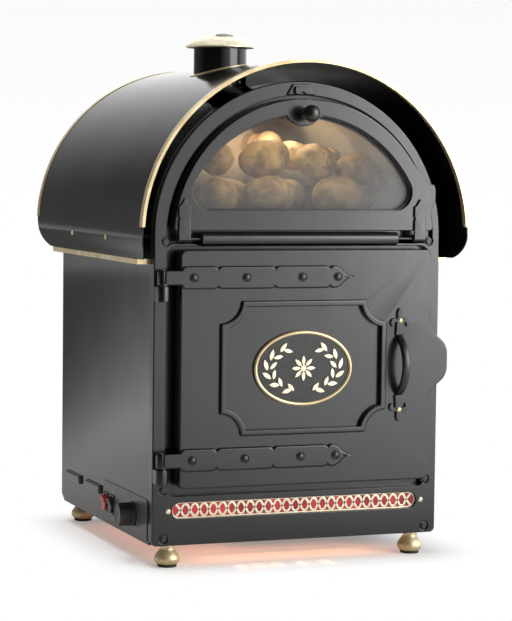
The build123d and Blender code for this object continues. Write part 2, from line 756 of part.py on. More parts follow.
def roof_spacers():
    spacers = []
    for depth in SPACER_DEPTHS:
        spacer = along_rod(SPACER_RADIUS, depth, SPACER_HEIGHT, BODY_RADIUS, SPACER_END)
        spacers.append(spacer - along_rod(ROOF_SCREW_RADIUS, depth, SPACER_HEIGHT, BODY_RADIUS, SPACER_END))
    return both_sides(Part() + spacers)


def roof_screws():
    screws = []
    head_base = ROOF_RADIUS + 0.3
    for depth in SPACER_DEPTHS:
        head = along_rod(ROOF_SCREW_HEAD, depth, SPACER_HEIGHT, head_base, head_base + 2)
        head = fillet(head.faces().sort_by(Axis.X)[-1].edges(), 1.8)
        inner = BODY_RADIUS - SHEET - 6
        screws.append(head + along_rod(ROOF_SCREW_RADIUS, depth, SPACER_HEIGHT, inner, head_base))
    return both_sides(Part() + screws)


def flue_core():
    return upright_rod(FLUE_RADIUS, FLUE_X, FLUE_DEPTH, FLUE_BOTTOM, FLUE_TOP)


def flue_pipe():
    bore = upright_rod(FLUE_RADIUS - SHEET, FLUE_X, FLUE_DEPTH, FLUE_BOTTOM, FLUE_TOP)
    return flue_core() - bore


def dome(radius, base, top):
    """Half the section of a shallow dome, over radius and height."""
    sphere = (radius**2 + (top - base) ** 2) / (2 * (top - base))
    part_way = radius * 0.5
    height = top - sphere + math.sqrt(sphere**2 - part_way**2)
    curve = ThreePointArc((radius, base), (part_way, height), (0, top))
    return make_face([curve, Line((0, top), (0, base)), Line((0, base), (radius, base))])


def flue_cap():
    """A shallow brass dome held above the pipe by three tongues inside it."""
    rim = CAP_BOTTOM + 2
    outer = dome(CAP_RADIUS, rim, CAP_TOP) + rectangle(0, CAP_RADIUS, CAP_BOTTOM, rim)
    hollow_radius = CAP_RADIUS - CAP_THICK
    hollow_top = CAP_TOP - CAP_THICK
    hollow = dome(hollow_radius, rim, hollow_top) + rectangle(0, hollow_radius, CAP_BOTTOM, rim)
    shell = revolve(Plane.XZ * (outer - hollow), Axis.Z)
    cap = Pos(FLUE_X, FRONT + FLUE_DEPTH, 0) * shell
    tongue_radius = FLUE_RADIUS - SHEET
    for angle in TONGUE_ANGLES:
        tongue = Pos(tongue_radius - 1, 0, (TONGUE_BOTTOM + TONGUE_TOP) / 2)
        tongue *= Box(2, TONGUE_WIDTH, TONGUE_TOP - TONGUE_BOTTOM)
        tongue &= Pos(0, 0, TONGUE_TOP) * Cylinder(tongue_radius, TONGUE_TOP)
        cap += Pos(FLUE_X, FRONT + FLUE_DEPTH, 0) * Rot(0, 0, angle) * tongue
    return cap


def flue_cap_plate():
    """An oval plate on the dome's front slope."""
    sphere_height = CAP_TOP - CAP_BOTTOM - 2
    sphere = (CAP_RADIUS**2 + sphere_height**2) / (2 * sphere_height)
    centre = CAP_TOP - sphere
    half_width, half_height, thick = CAP_PLATE
    oval = Pos(FLUE_X, FLUE_DEPTH - CAP_PLATE_FORWARD) * Ellipse(half_width, half_height)
    outer = Pos(FLUE_X, FRONT + FLUE_DEPTH, centre) * Sphere(sphere + thick)
    inner = Pos(FLUE_X, FRONT + FLUE_DEPTH, centre) * Sphere(sphere)
    return level(oval, CAP_BOTTOM, CAP_TOP + 1) & (outer - inner)


# ---- feet ----
def foot_section():
    base = (PAD_RADIUS, PAD_HEIGHT)
    shoulder = (PAD_RADIUS, FOOT_SHOULDER)
    neck = (FOOT_NECK, FOOT_NECK_BOTTOM)
    lower = ThreePointArc(base, (FOOT_BULGE, FOOT_BELLY), shoulder)
    cove = ThreePointArc(shoulder, FOOT_COVE, neck)
    sides = Polyline(neck, (FOOT_NECK, FLOOR_GAP), (0, FLOOR_GAP), (0, PAD_HEIGHT), base)
    return make_face([lower, cove, *sides.edges()])


def at_feet(solid):
    """A copy of the solid at each of the four feet."""
    copies = []
    for x in (-FOOT_X, FOOT_X):
        for depth in FOOT_DEPTHS:
            copies.append(Pos(x, FRONT + depth, 0) * solid)
    return Part() + copies


def brass_feet():
    return at_feet(revolve(Plane.XZ * foot_section(), Axis.Z))


def foot_pads():
    return at_feet(Pos(0, 0, PAD_HEIGHT / 2) * Cylinder(PAD_RADIUS, PAD_HEIGHT))


# ---- oven door ----
def tab_outline():
    """The thumb tab that stands out past the casting's right edge."""
    right = OVEN_DOOR[1]
    low, low_outer, high_outer, high = TAB_HEIGHTS
    points = [(right - 5, low), (right, low), (TAB_OUTER, low_outer)]
    points += [(TAB_OUTER, high_outer), (right, high), (right - 5, high)]
    tab = make_face(Polyline(*points, close=True))
    outer = tab.vertices().group_by(Axis.X)[-1]
    return fillet(outer, TAB_ROUND)


def notched_panel(inset):
    """A panel whose corners are cut in by quarter circles."""
    half_width = PANEL_HALF_WIDTH - inset
    half_height = PANEL_HALF_HEIGHT - inset
    outline = Rectangle(2 * half_width, 2 * half_height)
    for x in (-PANEL_HALF_WIDTH, PANEL_HALF_WIDTH):
        for z in (-PANEL_HALF_HEIGHT, PANEL_HALF_HEIGHT):
            outline -= Pos(x, z) * Circle(PANEL_CORNER + inset)
    return Pos(0, PANEL_MIDDLE) * outline


def door_hollow():
    """The hollow in the back of the door, which the inner plate closes."""
    left, right, bottom, top = OVEN_DOOR
    wall = DOOR_WALL
    return rounded(left + wall, right - wall, bottom + wall, top - wall, DOOR_HOLLOW_CORNER)


def oven_door_casting():
    outline = rounded(*OVEN_DOOR, DOOR_CORNER)
    front = outline + tab_outline()
    low, high = TAB_HEIGHTS[0] - 1, TAB_HEIGHTS[3] + 1
    roots = [v for v in front.vertices() if abs(v.X - OVEN_DOOR[1]) < 0.1 and low < v.Y < high]
    front = fillet(roots, TAB_ROOT)
    door = across(front, OVEN_DOOR_FRONT, TAB_BACK)
    door += across(outline, TAB_BACK, OVEN_DOOR_BACK)
    door -= across(door_hollow(), OVEN_DOOR_SKIN, OVEN_DOOR_BACK)
    door = fillet(door.faces().sort_by(Axis.Y)[0].outer_wire().edges(), DOOR_EDGE_ROUND)
    band = across(notched_panel(0), BAND_FRONT, OVEN_DOOR_FRONT)
    band = chamfer(band.faces().sort_by(Axis.Y)[0].edges(), BAND_CHAMFER)
    door += band
    return door - across(notched_panel(BAND_WIDTH), BAND_FRONT, FIELD_FRONT)


def oven_door_inner_plate():
    return across(door_hollow(), OVEN_DOOR_BACK - INNER_PLATE_THICK, OVEN_DOOR_BACK)


def oven_door_gasket():
    left, right, bottom, top = OVEN_OPENING
    wide, low = GASKET_OUTSET
    outer = rounded(left - wide, right + wide, bottom - low, top + wide, GASKET_CORNER)
    inner = rounded(left + 1, right - 1, bottom + low, top - 1, GASKET_CORNER - 2)
    return across(outer - inner, OVEN_DOOR_BACK, OVEN_RECESS_DEPTH)


def strap_outline(middle):
    """A strap of rounded lengths that meet in V notches, ending in a leaf point."""
    ends = (STRAP_START, *STRAP_NOTCHES)
    outline = rectangle(HINGE_X, STRAP_START + STRAP_NECK_OVERLAP, -STRAP_NECK_HALF, STRAP_NECK_HALF)
    for start, end in zip(ends[:-1], ends[1:]):
        left = start - 1 if start != STRAP_START else start
        outline += rounded(left, end + 1, -STRAP_HALF_HEIGHT, STRAP_HALF_HEIGHT, STRAP_ROUND)
    last = STRAP_NOTCHES[-1]
    edge = [(last + reach, STRAP_HALF_HEIGHT - drop) for reach, drop in STRAP_LEAF]
    upper = [
        Line((last - 2, 0), edge[0]),
        ThreePointArc(*edge[0:3]),
        ThreePointArc(*edge[2:5]),
        ThreePointArc(edge[4], edge[5], (STRAP_TIP, 0)),
        Line((STRAP_TIP, 0), (last - 2, 0)),
    ]
    leaf = make_face(upper)
    outline += leaf
    outline += mirror(leaf, about=Plane.XZ)
    return Pos(0, middle) * outline


def strap(middle):
    """One door strap with its rolled knuckle."""
    body = across(strap_outline(middle), STRAP_FRONT, OVEN_DOOR_FRONT)
    bottom = middle - STRAP_NECK_HALF - 1
    top = middle + STRAP_NECK_HALF
    body += upright_rod(KNUCKLE_RADIUS, HINGE_X, HINGE_DEPTH, bottom, top)
    bore = HINGE_PIN_RADIUS + RUNNING_FIT
    body -= upright_rod(bore, HINGE_X, HINGE_DEPTH, bottom, top)
    for x in STRAP_SCREWS:
        body -= across_rod(2, x, middle, STRAP_FRONT, OVEN_DOOR_FRONT)
    return body


def oven_door_straps():
    return Part() + [strap(middle) for middle in STRAP_HEIGHTS]


def strap_screws():
    screws = []
    for middle in STRAP_HEIGHTS:
        for x in STRAP_SCREWS:
            head = across_rod(STRAP_SCREW_RADIUS, x, middle, STRAP_FRONT - STRAP_SCREW_RISE, STRAP_FRONT)
            head = fillet(head.faces().sort_by(Axis.Y)[0].edges(), 1.4)
            screws.append(head + across_rod(2, x, middle, STRAP_FRONT, OVEN_DOOR_FRONT))
    return Part() + screws


def hinge_lugs():
    lugs = []
    for middle in STRAP_HEIGHTS:
        top = middle - STRAP_NECK_HALF - 1 - END_FLOAT
        bottom = top - LUG_HEIGHT
        lug = slab(HINGE_X - LUG_RADIUS, HINGE_X + LUG_RADIUS, HINGE_DEPTH, 0, bottom, top)
        lug += upright_rod(LUG_RADIUS, HINGE_X, HINGE_DEPTH, bottom, top)
        lugs.append(lug - upright_rod(HINGE_PIN_RADIUS, HINGE_X, HINGE_DEPTH, bottom, top))
    return Part() + lugs


def oven_hinge_pins():
    pins = []
    for middle in STRAP_HEIGHTS:
        bottom = middle - STRAP_NECK_HALF - 1 - END_FLOAT - LUG_HEIGHT
        pins.append(upright_rod(HINGE_PIN_RADIUS, HINGE_X, HINGE_DEPTH, bottom, middle + STRAP_NECK_HALF))
    return Part() + pins


def handle_plate(middle, outward):
    """An end plate with one leaf, a lobe at each side and a tail under the bar."""
    half_width, half_height = HANDLE_LEAF
    plate = Pos(0, outward * half_height) * Ellipse(half_width, half_height)
    plate += Circle(HANDLE_BOSS)
    lobe_x, lobe_drop, lobe_half_width = HANDLE_LOBE
    for side in (-1, 1):
        plate += Pos(side * lobe_x, -outward * lobe_drop) * Ellipse(lobe_half_width, half_height)
        plate += Pos(side * lobe_x / 2, -outward) * Rectangle(lobe_x, HANDLE_BRIDGE)
    plate += Pos(0, -outward * HANDLE_TAIL / 2) * Rectangle(HANDLE_WIDTH, HANDLE_TAIL)
    return across(Pos(HANDLE_X, middle) * plate, HANDLE_PLATE_FRONT, OVEN_DOOR_FRONT)


def pull_handle():
    """A bowed bar between two cross-shaped plates."""
    foot = HANDLE_PLATE_FRONT + 1
    rise = foot + HANDLE_REACH
    span = HANDLE_HALF_SPAN
    radius = (span**2 + rise**2) / (2 * rise)
    centre = -HANDLE_REACH + radius
    bow = Pos(centre, HANDLE_MIDDLE) * (Circle(radius) - Circle(radius - HANDLE_BAR))
    bow &= rectangle(-HANDLE_REACH, foot + 1, HANDLE_MIDDLE - 2 * span, HANDLE_MIDDLE + 2 * span)
    bar = along(bow, HANDLE_X - HANDLE_WIDTH / 2, HANDLE_X + HANDLE_WIDTH / 2)
    curved = [edge for edge in bar.edges() if edge.geom_type == GeomType.CIRCLE]
    bar = fillet(curved, 3.2)
    low, high = HANDLE_SCREW_HEIGHTS
    handle = handle_plate(low, -1) + handle_plate(high, 1) + bar
    for z in HANDLE_SCREW_HEIGHTS:
        handle -= across_rod(2, HANDLE_X, z, HANDLE_PLATE_FRONT, OVEN_DOOR_FRONT)
    return handle


def handle_screws():
    screws = []
    for z in HANDLE_SCREW_HEIGHTS:
        head = across_rod(4, HANDLE_X, z, HANDLE_PLATE_FRONT - 2.2, HANDLE_PLATE_FRONT)
        head = fillet(head.faces().sort_by(Axis.Y)[0].edges(), 1.8)
        screws.append(head + across_rod(2, HANDLE_X, z, HANDLE_PLATE_FRONT, OVEN_DOOR_FRONT))
    return Part() + screws


def badge_rim():
    width, height = BADGE_HALF
    ring = Ellipse(width, height) - Ellipse(width - BADGE_RIM, height - BADGE_RIM)
    rim = across(Pos(0, BADGE_MIDDLE) * ring, BADGE_RIM_FRONT, FIELD_FRONT)
    return chamfer(rim.faces().sort_by(Axis.Y)[0].edges(), 1.2)


def badge_field():
    width, height = BADGE_HALF
    oval = Ellipse(width - BADGE_RIM, height - BADGE_RIM)
    return across(Pos(0, BADGE_MIDDLE) * oval, BADGE_FIELD_FRONT, FIELD_FRONT)


def leaf_shape(scale):
    """One pointed leaf, standing upright on its middle."""
    points = [(x * scale, y * scale) for x, y in LEAF_SIDE]
    points += [(-x, y) for x, y in reversed(points) if x]
    return make_face(Polyline(*points, close=True))


def badge_ornament():
    """A plain rosette between two sprays of leaves, in low relief."""
    shapes = [Circle(ROSETTE_EYE)]
    for index in range(ROSETTE_PETALS):
        turn = 360 / ROSETTE_PETALS * index
        shapes.append(Rot(0, 0, turn) * Pos(0, ROSETTE_REACH) * leaf_shape(PETAL_SCALE))
    for side in (-1, 1):
        for index in range(SPRAY_LEAVES):
            angle = math.radians(SPRAY_START + SPRAY_STEP * index)
            across_spray = side * SPRAY_HALF[0] * math.sin(angle)
            up_spray = -SPRAY_HALF[1] * math.cos(angle)
            slope = math.atan2(SPRAY_HALF[1] * math.sin(angle), SPRAY_HALF[0] * math.cos(angle))
            lean = side * (math.degrees(slope) - 90)
            shift, outer_scale = OUTER_LEAF
            share, inner_scale = INNER_LEAF
            outer = Pos(across_spray + side * shift, up_spray) * Rot(0, 0, lean - side * LEAF_SPLAY)
            inner = Pos(across_spray * share, up_spray * share) * Rot(0, 0, lean + side * LEAF_SPLAY)
            shapes.append(outer * leaf_shape(outer_scale))
            shapes.append(inner * leaf_shape(inner_scale))
    solids = []
    for shape in shapes:
        solids.append(across(Pos(0, BADGE_MIDDLE) * shape, ORNAMENT_FRONT, BADGE_FIELD_FRONT))
    return Part() + solids


# ---- display door ----
def display_door_outline():
    return segment(DISPLAY_DOOR_MIDDLE, DISPLAY_DOOR_RADIUS, DISPLAY_DOOR_BOTTOM, 5)


def ear_outline():
    """The lifting ear on the right of the display door."""
    return make_face(Polyline(*EAR_POINTS, close=True))


def window_outline(shrink):
    outline = segment((0, WINDOW_SPRING), WINDOW_RADIUS - shrink, WINDOW_BOTTOM + shrink, WINDOW_CORNER)
    return outline - Pos(*LOBE_MIDDLE) * Circle(LOBE_RADIUS + shrink)


def display_door_frame():
    ear = across(ear_outline(), DISPLAY_DOOR_FRONT, DISPLAY_DOOR_PLATE_BACK)
    outline = display_door_outline()
    door = across(outline, DISPLAY_DOOR_FRONT, DISPLAY_DOOR_PLATE_BACK) + ear
    door = fillet(door.faces().sort_by(Axis.Y)[0].outer_wire().edges(), DISPLAY_EDGE_ROUND)
    inner_radius = DISPLAY_DOOR_RADIUS - DISPLAY_FLANGE
    inner_bottom = DISPLAY_DOOR_BOTTOM + DISPLAY_FLANGE
    inner = segment(DISPLAY_DOOR_MIDDLE, inner_radius, inner_bottom, DISPLAY_FLANGE_CORNER)
    door += across(outline - inner, DISPLAY_DOOR_PLATE_BACK, DISPLAY_DOOR_BACK)
    half_depth = (DISPLAY_DOOR_FRONT + DISPLAY_DOOR_PLATE_BACK) / 2
    door -= across(window_outline(0), DISPLAY_DOOR_FRONT, half_depth)
    return door - across(window_outline(WINDOW_STEP), half_depth, DISPLAY_DOOR_PLATE_BACK)


def glass_outline(radius, bottom):
    return segment((0, WINDOW_SPRING), radius, bottom, 20)


def display_glass():
    return across(glass_outline(GLASS_RADIUS, GLASS_BOTTOM), DISPLAY_DOOR_PLATE_BACK, GLASS_BACK)


def glass_retainer():
    outer = glass_outline(GLASS_RADIUS, GLASS_BOTTOM)
    inner = glass_outline(GLASS_RADIUS - 8, GLASS_BOTTOM + 8)
    return across(outer - inner, GLASS_BACK, RETAINER_BACK)


def display_door_knob():
    knob = Pos(0, FRONT + KNOB_DEPTH, KNOB_HEIGHT) * Sphere(KNOB_RADIUS)
    knob += across_rod(KNOB_STEM_RADIUS, 0, KNOB_HEIGHT, KNOB_DEPTH, DISPLAY_DOOR_FRONT)
    radius, thick = KNOB_COLLAR
    collar = across_rod(radius, 0, KNOB_HEIGHT, DISPLAY_DOOR_FRONT - thick, DISPLAY_DOOR_FRONT)
    return knob + fillet(collar.faces().sort_by(Axis.Y)[0].edges(), 2)


def bracket_outline():
    """A pointed strap with one pair of notches."""
    half = BRACKET_WIDTH / 2
    low, high = BRACKET_LEAF
    side, shoulder = BRACKET_POINT
    outline = rectangle(-half, half, ROD_HEIGHT - 2, BRACKET_NECK_TOP)
    outline += rounded(-half, half, low, high, 4)
    points = [(-half, BRACKET_SHOULDER), (half, BRACKET_SHOULDER), (side, shoulder)]
    points += [(0, BRACKET_TIP), (-side, shoulder)]
    outline += make_face(Polyline(*points, close=True))
    notch_height, notch_radius = BRACKET_NOTCH
    for edge in (-half, half):
        outline -= Pos(edge, notch_height) * Circle(notch_radius)
    return outline


def display_straps():
    body = across(Pos(BRACKET_X, 0) * bracket_outline(), BRACKET_FRONT, DISPLAY_DOOR_FRONT)
    left = BRACKET_X - BRACKET_WIDTH / 2
    right = BRACKET_X + BRACKET_WIDTH / 2
    body += along_rod(BRACKET_EYE, ROD_DEPTH, ROD_HEIGHT, left, right)
    body += slab(left, right, BRACKET_FRONT, DISPLAY_DOOR_FRONT, ROD_HEIGHT - 2, ROD_HEIGHT + 6)
    return both_sides(body - along_rod(ROD_RADIUS, ROD_DEPTH, ROD_HEIGHT, left, right))


def hinge_rod():
    end = BRACKET_X + BRACKET_WIDTH / 2
    return along_rod(ROD_RADIUS, ROD_DEPTH, ROD_HEIGHT, -end, end)


def display_hinge_barrel():
    """The fixed barrel along the foot of the display door, with its web to the casting."""
    left, right = BARREL_ENDS
    barrel = along_rod(BARREL_RADIUS, ROD_DEPTH, ROD_HEIGHT, left, right)
    web_bottom = DISPLAY_RECESS_BOTTOM
    barrel += slab(left, right, ROD_DEPTH, 0, ROD_HEIGHT - BARREL_RADIUS, 491)
    barrel += slab(left, right, 0, DISPLAY_RECESS_DEPTH, web_bottom, 491)
    return barrel - along_rod(ROD_RADIUS + RUNNING_FIT, ROD_DEPTH, ROD_HEIGHT, left, right)


# ---- controls ----
def switch_housings():
    housings = []
    front = -PLATE_OUTER - BEZEL_RISE
    thick, tall, length = SPADE
    for depth in SWITCH_DEPTHS:
        centre = Pos(depth, SWITCH_HEIGHT)
        housing = along(centre * Rectangle(*SWITCH_BEZEL), front, -PLATE_OUTER)
        housing += along(centre * Rectangle(*SWITCH_BODY), -PLATE_OUTER, SWITCH_BODY_END)
        housing -= along(centre * Rectangle(*SWITCH_CAVITY), front, SWITCH_CAVITY_FLOOR)
        half = SWITCH_BODY[0] / 2
        bearing = ROCKER_STUB_RADIUS + RUNNING_FIT
        pivot = Pos(ROCKER_AXIS_X, SWITCH_HEIGHT) * Circle(bearing)
        housing -= across(pivot, depth - half, depth + half)
        near, far = depth - thick / 2, depth + thick / 2
        for offset in SPADE_OFFSETS:
            low = SWITCH_HEIGHT + offset - tall / 2
            housing += slab(SWITCH_BODY_END, SWITCH_BODY_END + length, near, far, low, low + tall)
        housings.append(housing)
    return Part() + housings


def rocker(depth):
    """A two-faced rocker on side stubs, pressed over to one side."""
    width, height = ROCKER_SIZE
    half = height / 2
    deep, waist = ROCKER_DEEP
    points = [(2, -half), (2, half), (-deep, half), (-waist, 0), (-deep, -half)]
    outline = make_face(Polyline(*points, close=True))
    tilted = Pos(ROCKER_AXIS_X, SWITCH_HEIGHT) * Rot(0, 0, ROCKER_TILT) * outline
    body = across(tilted, depth - width / 2, depth + width / 2)
    stub = SWITCH_CAVITY[0] / 2 + ROCKER_STUB_REACH
    ends = (depth - stub, depth + stub)
    return body + across_rod(ROCKER_STUB_RADIUS, ROCKER_AXIS_X, SWITCH_HEIGHT, *ends)


def thermostat_body():
    outer, inner = THERMOSTAT_BOX
    half = THERMOSTAT_BOX_HALF
    low, high = THERMOSTAT_HEIGHT - half, THERMOSTAT_HEIGHT + half
    box = slab(-outer, -inner, THERMOSTAT_DEPTH - half, THERMOSTAT_DEPTH + half, low, high)
    box += along_rod(BUSH_RADIUS, THERMOSTAT_DEPTH, THERMOSTAT_HEIGHT, -PLATE_OUTER, -outer)
    bore = SPINDLE_RADIUS + RUNNING_FIT
    return box - along_rod(bore, THERMOSTAT_DEPTH, THERMOSTAT_HEIGHT, -PLATE_OUTER, SPINDLE_BORE_END)


def thermostat_knob():
    """The knob, with a skirt and a fluted grip, and the spindle pressed into it."""
    depth = THERMOSTAT_DEPTH
    height = THERMOSTAT_HEIGHT
    back = -PLATE_OUTER - END_FLOAT
    skirt_radius, skirt = KNOB_SKIRT
    grip_radius, reach = KNOB_GRIP
    circle, flute_radius = KNOB_FLUTE
    knob = along_rod(skirt_radius, depth, height, back - skirt, back)
    knob = fillet(knob.faces().sort_by(Axis.X)[0].edges(), 1)
    grip = along_rod(grip_radius, depth, height, back - reach, back - skirt)
    grip = fillet(grip.faces().sort_by(Axis.X)[0].edges(), 2)
    for index in range(KNOB_FLUTES):
        angle = math.radians(360 / KNOB_FLUTES * index)
        flute_depth = depth + circle * math.cos(angle)
        flute_height = height + circle * math.sin(angle)
        grip -= along_rod(flute_radius, flute_depth, flute_height, back - reach, back - skirt)
    knob += grip
    knob -= along_rod(SPINDLE_RADIUS, depth, height, back - KNOB_SOCKET, back)
    spindle = along_rod(SPINDLE_RADIUS, depth, height, back - KNOB_SOCKET, SPINDLE_END)
    return Part() + [knob, spindle]


# ---- inside the oven ----
def oven_liner():
    bottom, top = LINER_HEIGHTS
    liner = slab(-LINER_HALF, LINER_HALF, CASTING_THICK, LINER_REAR, bottom, top)
    inner = LINER_HALF - LINER_SHEET
    rear = LINER_REAR - LINER_SHEET
    liner -= slab(-inner, inner, CASTING_THICK, rear, bottom + LINER_SHEET, top - LINER_SHEET)
    for angle in (60, 120):
        liner -= element_lead(angle)
    return liner - across_rod(6, 0, FAN_HEIGHT, rear, LINER_REAR)


def oven_insulation():
    """A blanket wrapped round the liner's four walls."""
    bottom, top = LINER_HEIGHTS
    start = 28
    half = LINER_HALF + INSULATION
    blanket = slab(-half, half, start, LINER_REAR, bottom - INSULATION, top + INSULATION)
    return blanket - slab(-LINER_HALF, LINER_HALF, start, LINER_REAR, bottom, top)


def rack_runners():
    runners = []
    inner = LINER_HALF - LINER_SHEET
    for height in RACK_HEIGHTS:
        bar = slab(inner - RUNNER_WIDTH, inner, *RUNNER_DEPTHS, height - RUNNER_THICK, height)
        bar += slab(inner - RUNNER_THICK, inner, *RUNNER_DEPTHS, height, height + RUNNER_FENCE)
        runners.append(bar)
    return both_sides(Part() + runners)


def wire_rack(height):
    """A frame of heavy wire with thinner bars across it."""
    half = LINER_HALF - LINER_SHEET - 4
    front, back = 34, 356
    middle = height + RACK_WIRE
    frame = along_rod(RACK_WIRE, front, middle, -half, half)
    frame += along_rod(RACK_WIRE, back, middle, -half, half)
    for x in (-half, half):
        frame += across_rod(RACK_WIRE, x, middle, front - RACK_WIRE, back + RACK_WIRE)
    step = 2 * half / (RACK_BARS + 1)
    for index in range(1, RACK_BARS + 1):
        frame += across_rod(1.4, -half + index * step, middle, front, back)
    return frame


def wire_racks():
    return Part() + [wire_rack(height) for height in RACK_HEIGHTS]


def element_lead(angle):
    """One straight lead of the element, through the liner's rear wall."""
    x = ELEMENT_RADIUS * math.cos(math.radians(angle))
    z = FAN_HEIGHT + ELEMENT_RADIUS * math.sin(math.radians(angle))
    return across_rod(ELEMENT_ROUND, x, z, ELEMENT_DEPTH, LINER_REAR + ELEMENT_LEAD_END)


def ring_element():
    half = ELEMENT_HALF_WIDTH
    outline = Pos(0, FAN_HEIGHT) * (Circle(ELEMENT_RADIUS + half) - Circle(ELEMENT_RADIUS - half))
    ring = across(outline, ELEMENT_DEPTH - half, ELEMENT_DEPTH + half)
    ring = fillet(ring.edges().filter_by(GeomType.CIRCLE), ELEMENT_ROUND)
    for angle in ELEMENT_LEAD_ANGLES:
        ring += element_lead(angle)
    return ring


def fan_baffle():
    left, right = -BAFFLE_HALF, BAFFLE_HALF
    bottom, top = BAFFLE_HEIGHTS
    plate = across(rectangle(left, right, bottom, top), *BAFFLE_DEPTHS)
    plate -= across(Pos(0, FAN_HEIGHT) * Circle(BAFFLE_EYE), *BAFFLE_DEPTHS)
    inset = BAFFLE_POST_INSET
    for x in (left + inset, right - inset):
        for z in (bottom + inset, top - inset):
            plate += across_rod(BAFFLE_POST_RADIUS, x, z, BAFFLE_DEPTHS[1], LINER_REAR - LINER_SHEET)
    return plate


def fan_rotor():
    """A disc with radial blades on the motor's shaft."""
    radius, front, rear = FAN_DISC
    inner, outer, half_thick = FAN_BLADE
    disc = across_rod(radius, 0, FAN_HEIGHT, front, rear)
    for index in range(FAN_BLADES):
        turn = 360 / FAN_BLADES * index
        blade = Rot(0, 0, turn) * rectangle(inner, outer, -half_thick, half_thick)
        disc += across(Pos(0, FAN_HEIGHT) * blade, FAN_BLADE_FRONT, front)
    return disc + across_rod(FAN_SHAFT_RADIUS, 0, FAN_HEIGHT, *FAN_SHAFT)


def fan_motor():
    side, flange = MOTOR_FLANGE
    radius, length = MOTOR_CASE
    motor = across(Pos(0, FAN_HEIGHT) * Rectangle(side, side), LINER_REAR, LINER_REAR + flange)
    motor += across_rod(radius, 0, FAN_HEIGHT, LINER_REAR + flange, LINER_REAR + length)
    bore = FAN_SHAFT_RADIUS + RUNNING_FIT
    return motor - across_rod(bore, 0, FAN_HEIGHT, LINER_REAR, LINER_REAR + MOTOR_BORE_DEPTH)


# ---- inside the display ----
def display_section(radius, bottom):
    return segment((0, ARCH_SPRING), radius, bottom, 3)


def display_liner():
    outer = display_section(DISPLAY_LINER_RADIUS, DISPLAY_LINER_BOTTOM)
    inner = display_section(DISPLAY_LINER_RADIUS - SHEET, DISPLAY_LINER_BOTTOM + SHEET)
    liner = across(outer, CASTING_THICK, DISPLAY_LINER_REAR)
    liner -= across(inner, CASTING_THICK, DISPLAY_LINER_REAR - SHEET)
    return liner - flue_core()


def display_floor():
    """A perforated shelf on two folded legs."""
    front, rear = DISPLAY_FLOOR_DEPTHS
    under = DISPLAY_FLOOR_TOP - SHEET
    plate = slab(-DISPLAY_FLOOR_HALF, DISPLAY_FLOOR_HALF, front, rear, under, DISPLAY_FLOOR_TOP)
    column_step, row_step = FLOOR_HOLE_STEP
    columns, rows = FLOOR_HOLE_COUNT
    for column in range(columns):
        x = column_step * (column - (columns - 1) / 2)
        for row in range(rows):
            hole = Pos(x, FLOOR_HOLE_START + row_step * row) * Circle(FLOOR_HOLE_RADIUS)
            plate -= level(hole, under, DISPLAY_FLOOR_TOP)
    leg_bottom = DISPLAY_LINER_BOTTOM + SHEET
    for x in (-DISPLAY_FLOOR_LEG, DISPLAY_FLOOR_LEG - SHEET):
        plate += slab(x, x + SHEET, front, rear, leg_bottom, DISPLAY_FLOOR_TOP)
    return plate


def display_lamp():
    """A lamp on the display's rear wall."""
    rear = DISPLAY_LINER_REAR - SHEET
    holder_radius, holder_length = LAMP_HOLDER
    neck_radius, neck_reach = LAMP_NECK
    x, height = DISPLAY_LAMP
    holder = across_rod(holder_radius, x, height, rear - holder_length, rear)
    bulb = across_rod(neck_radius, x, height, rear - neck_reach, rear - holder_length)
    bulb += Pos(x, FRONT + rear - neck_reach, height) * Sphere(LAMP_BULB_RADIUS)
    return Part() + [holder, bulb]


POTATOES = [
    # x, depth, z, half length, half thickness, turn, tilt
    (-105, 68, 548.5, 29, 28, 10, 0),
    (-26, 66, 549.5, 45, 29, 4, 0),
    (88, 66, 549.5, 41, 29, -6, 0),
    (28, 132, 547.5, 34, 27, 20, 0),
    (152, 136, 544.5, 27, 24, -20, 0),
    (-72, 130, 547.5, 36, 27, -15, 0),
    (-99, 95, 603, 29, 27, 60, 20),
    (-21, 98, 604.5, 41, 31.5, 8, -6),
    (44, 147, 609, 29, 24, -15, 8),
    (63, 95, 601, 33, 28, 6, 12),
    (131, 104, 588, 33, 27, -8, -8),
    (103, 149, 602, 25, 22, 20, 5),
]


def potato(x, depth, z, half_length, half_thickness, turn, tilt):
    """A plain egg-smooth potato, longest along its own X."""
    section = Ellipse(half_length, half_thickness)
    section -= Pos(0, -half_thickness) * Rectangle(4 * half_length, 2 * half_thickness)
    solid = revolve(section, Axis.X)
    return Pos(x, FRONT + depth, z) * Rot(0, tilt, turn) * solid


def display_potatoes():
    return Part() + [potato(*row) for row in POTATOES]


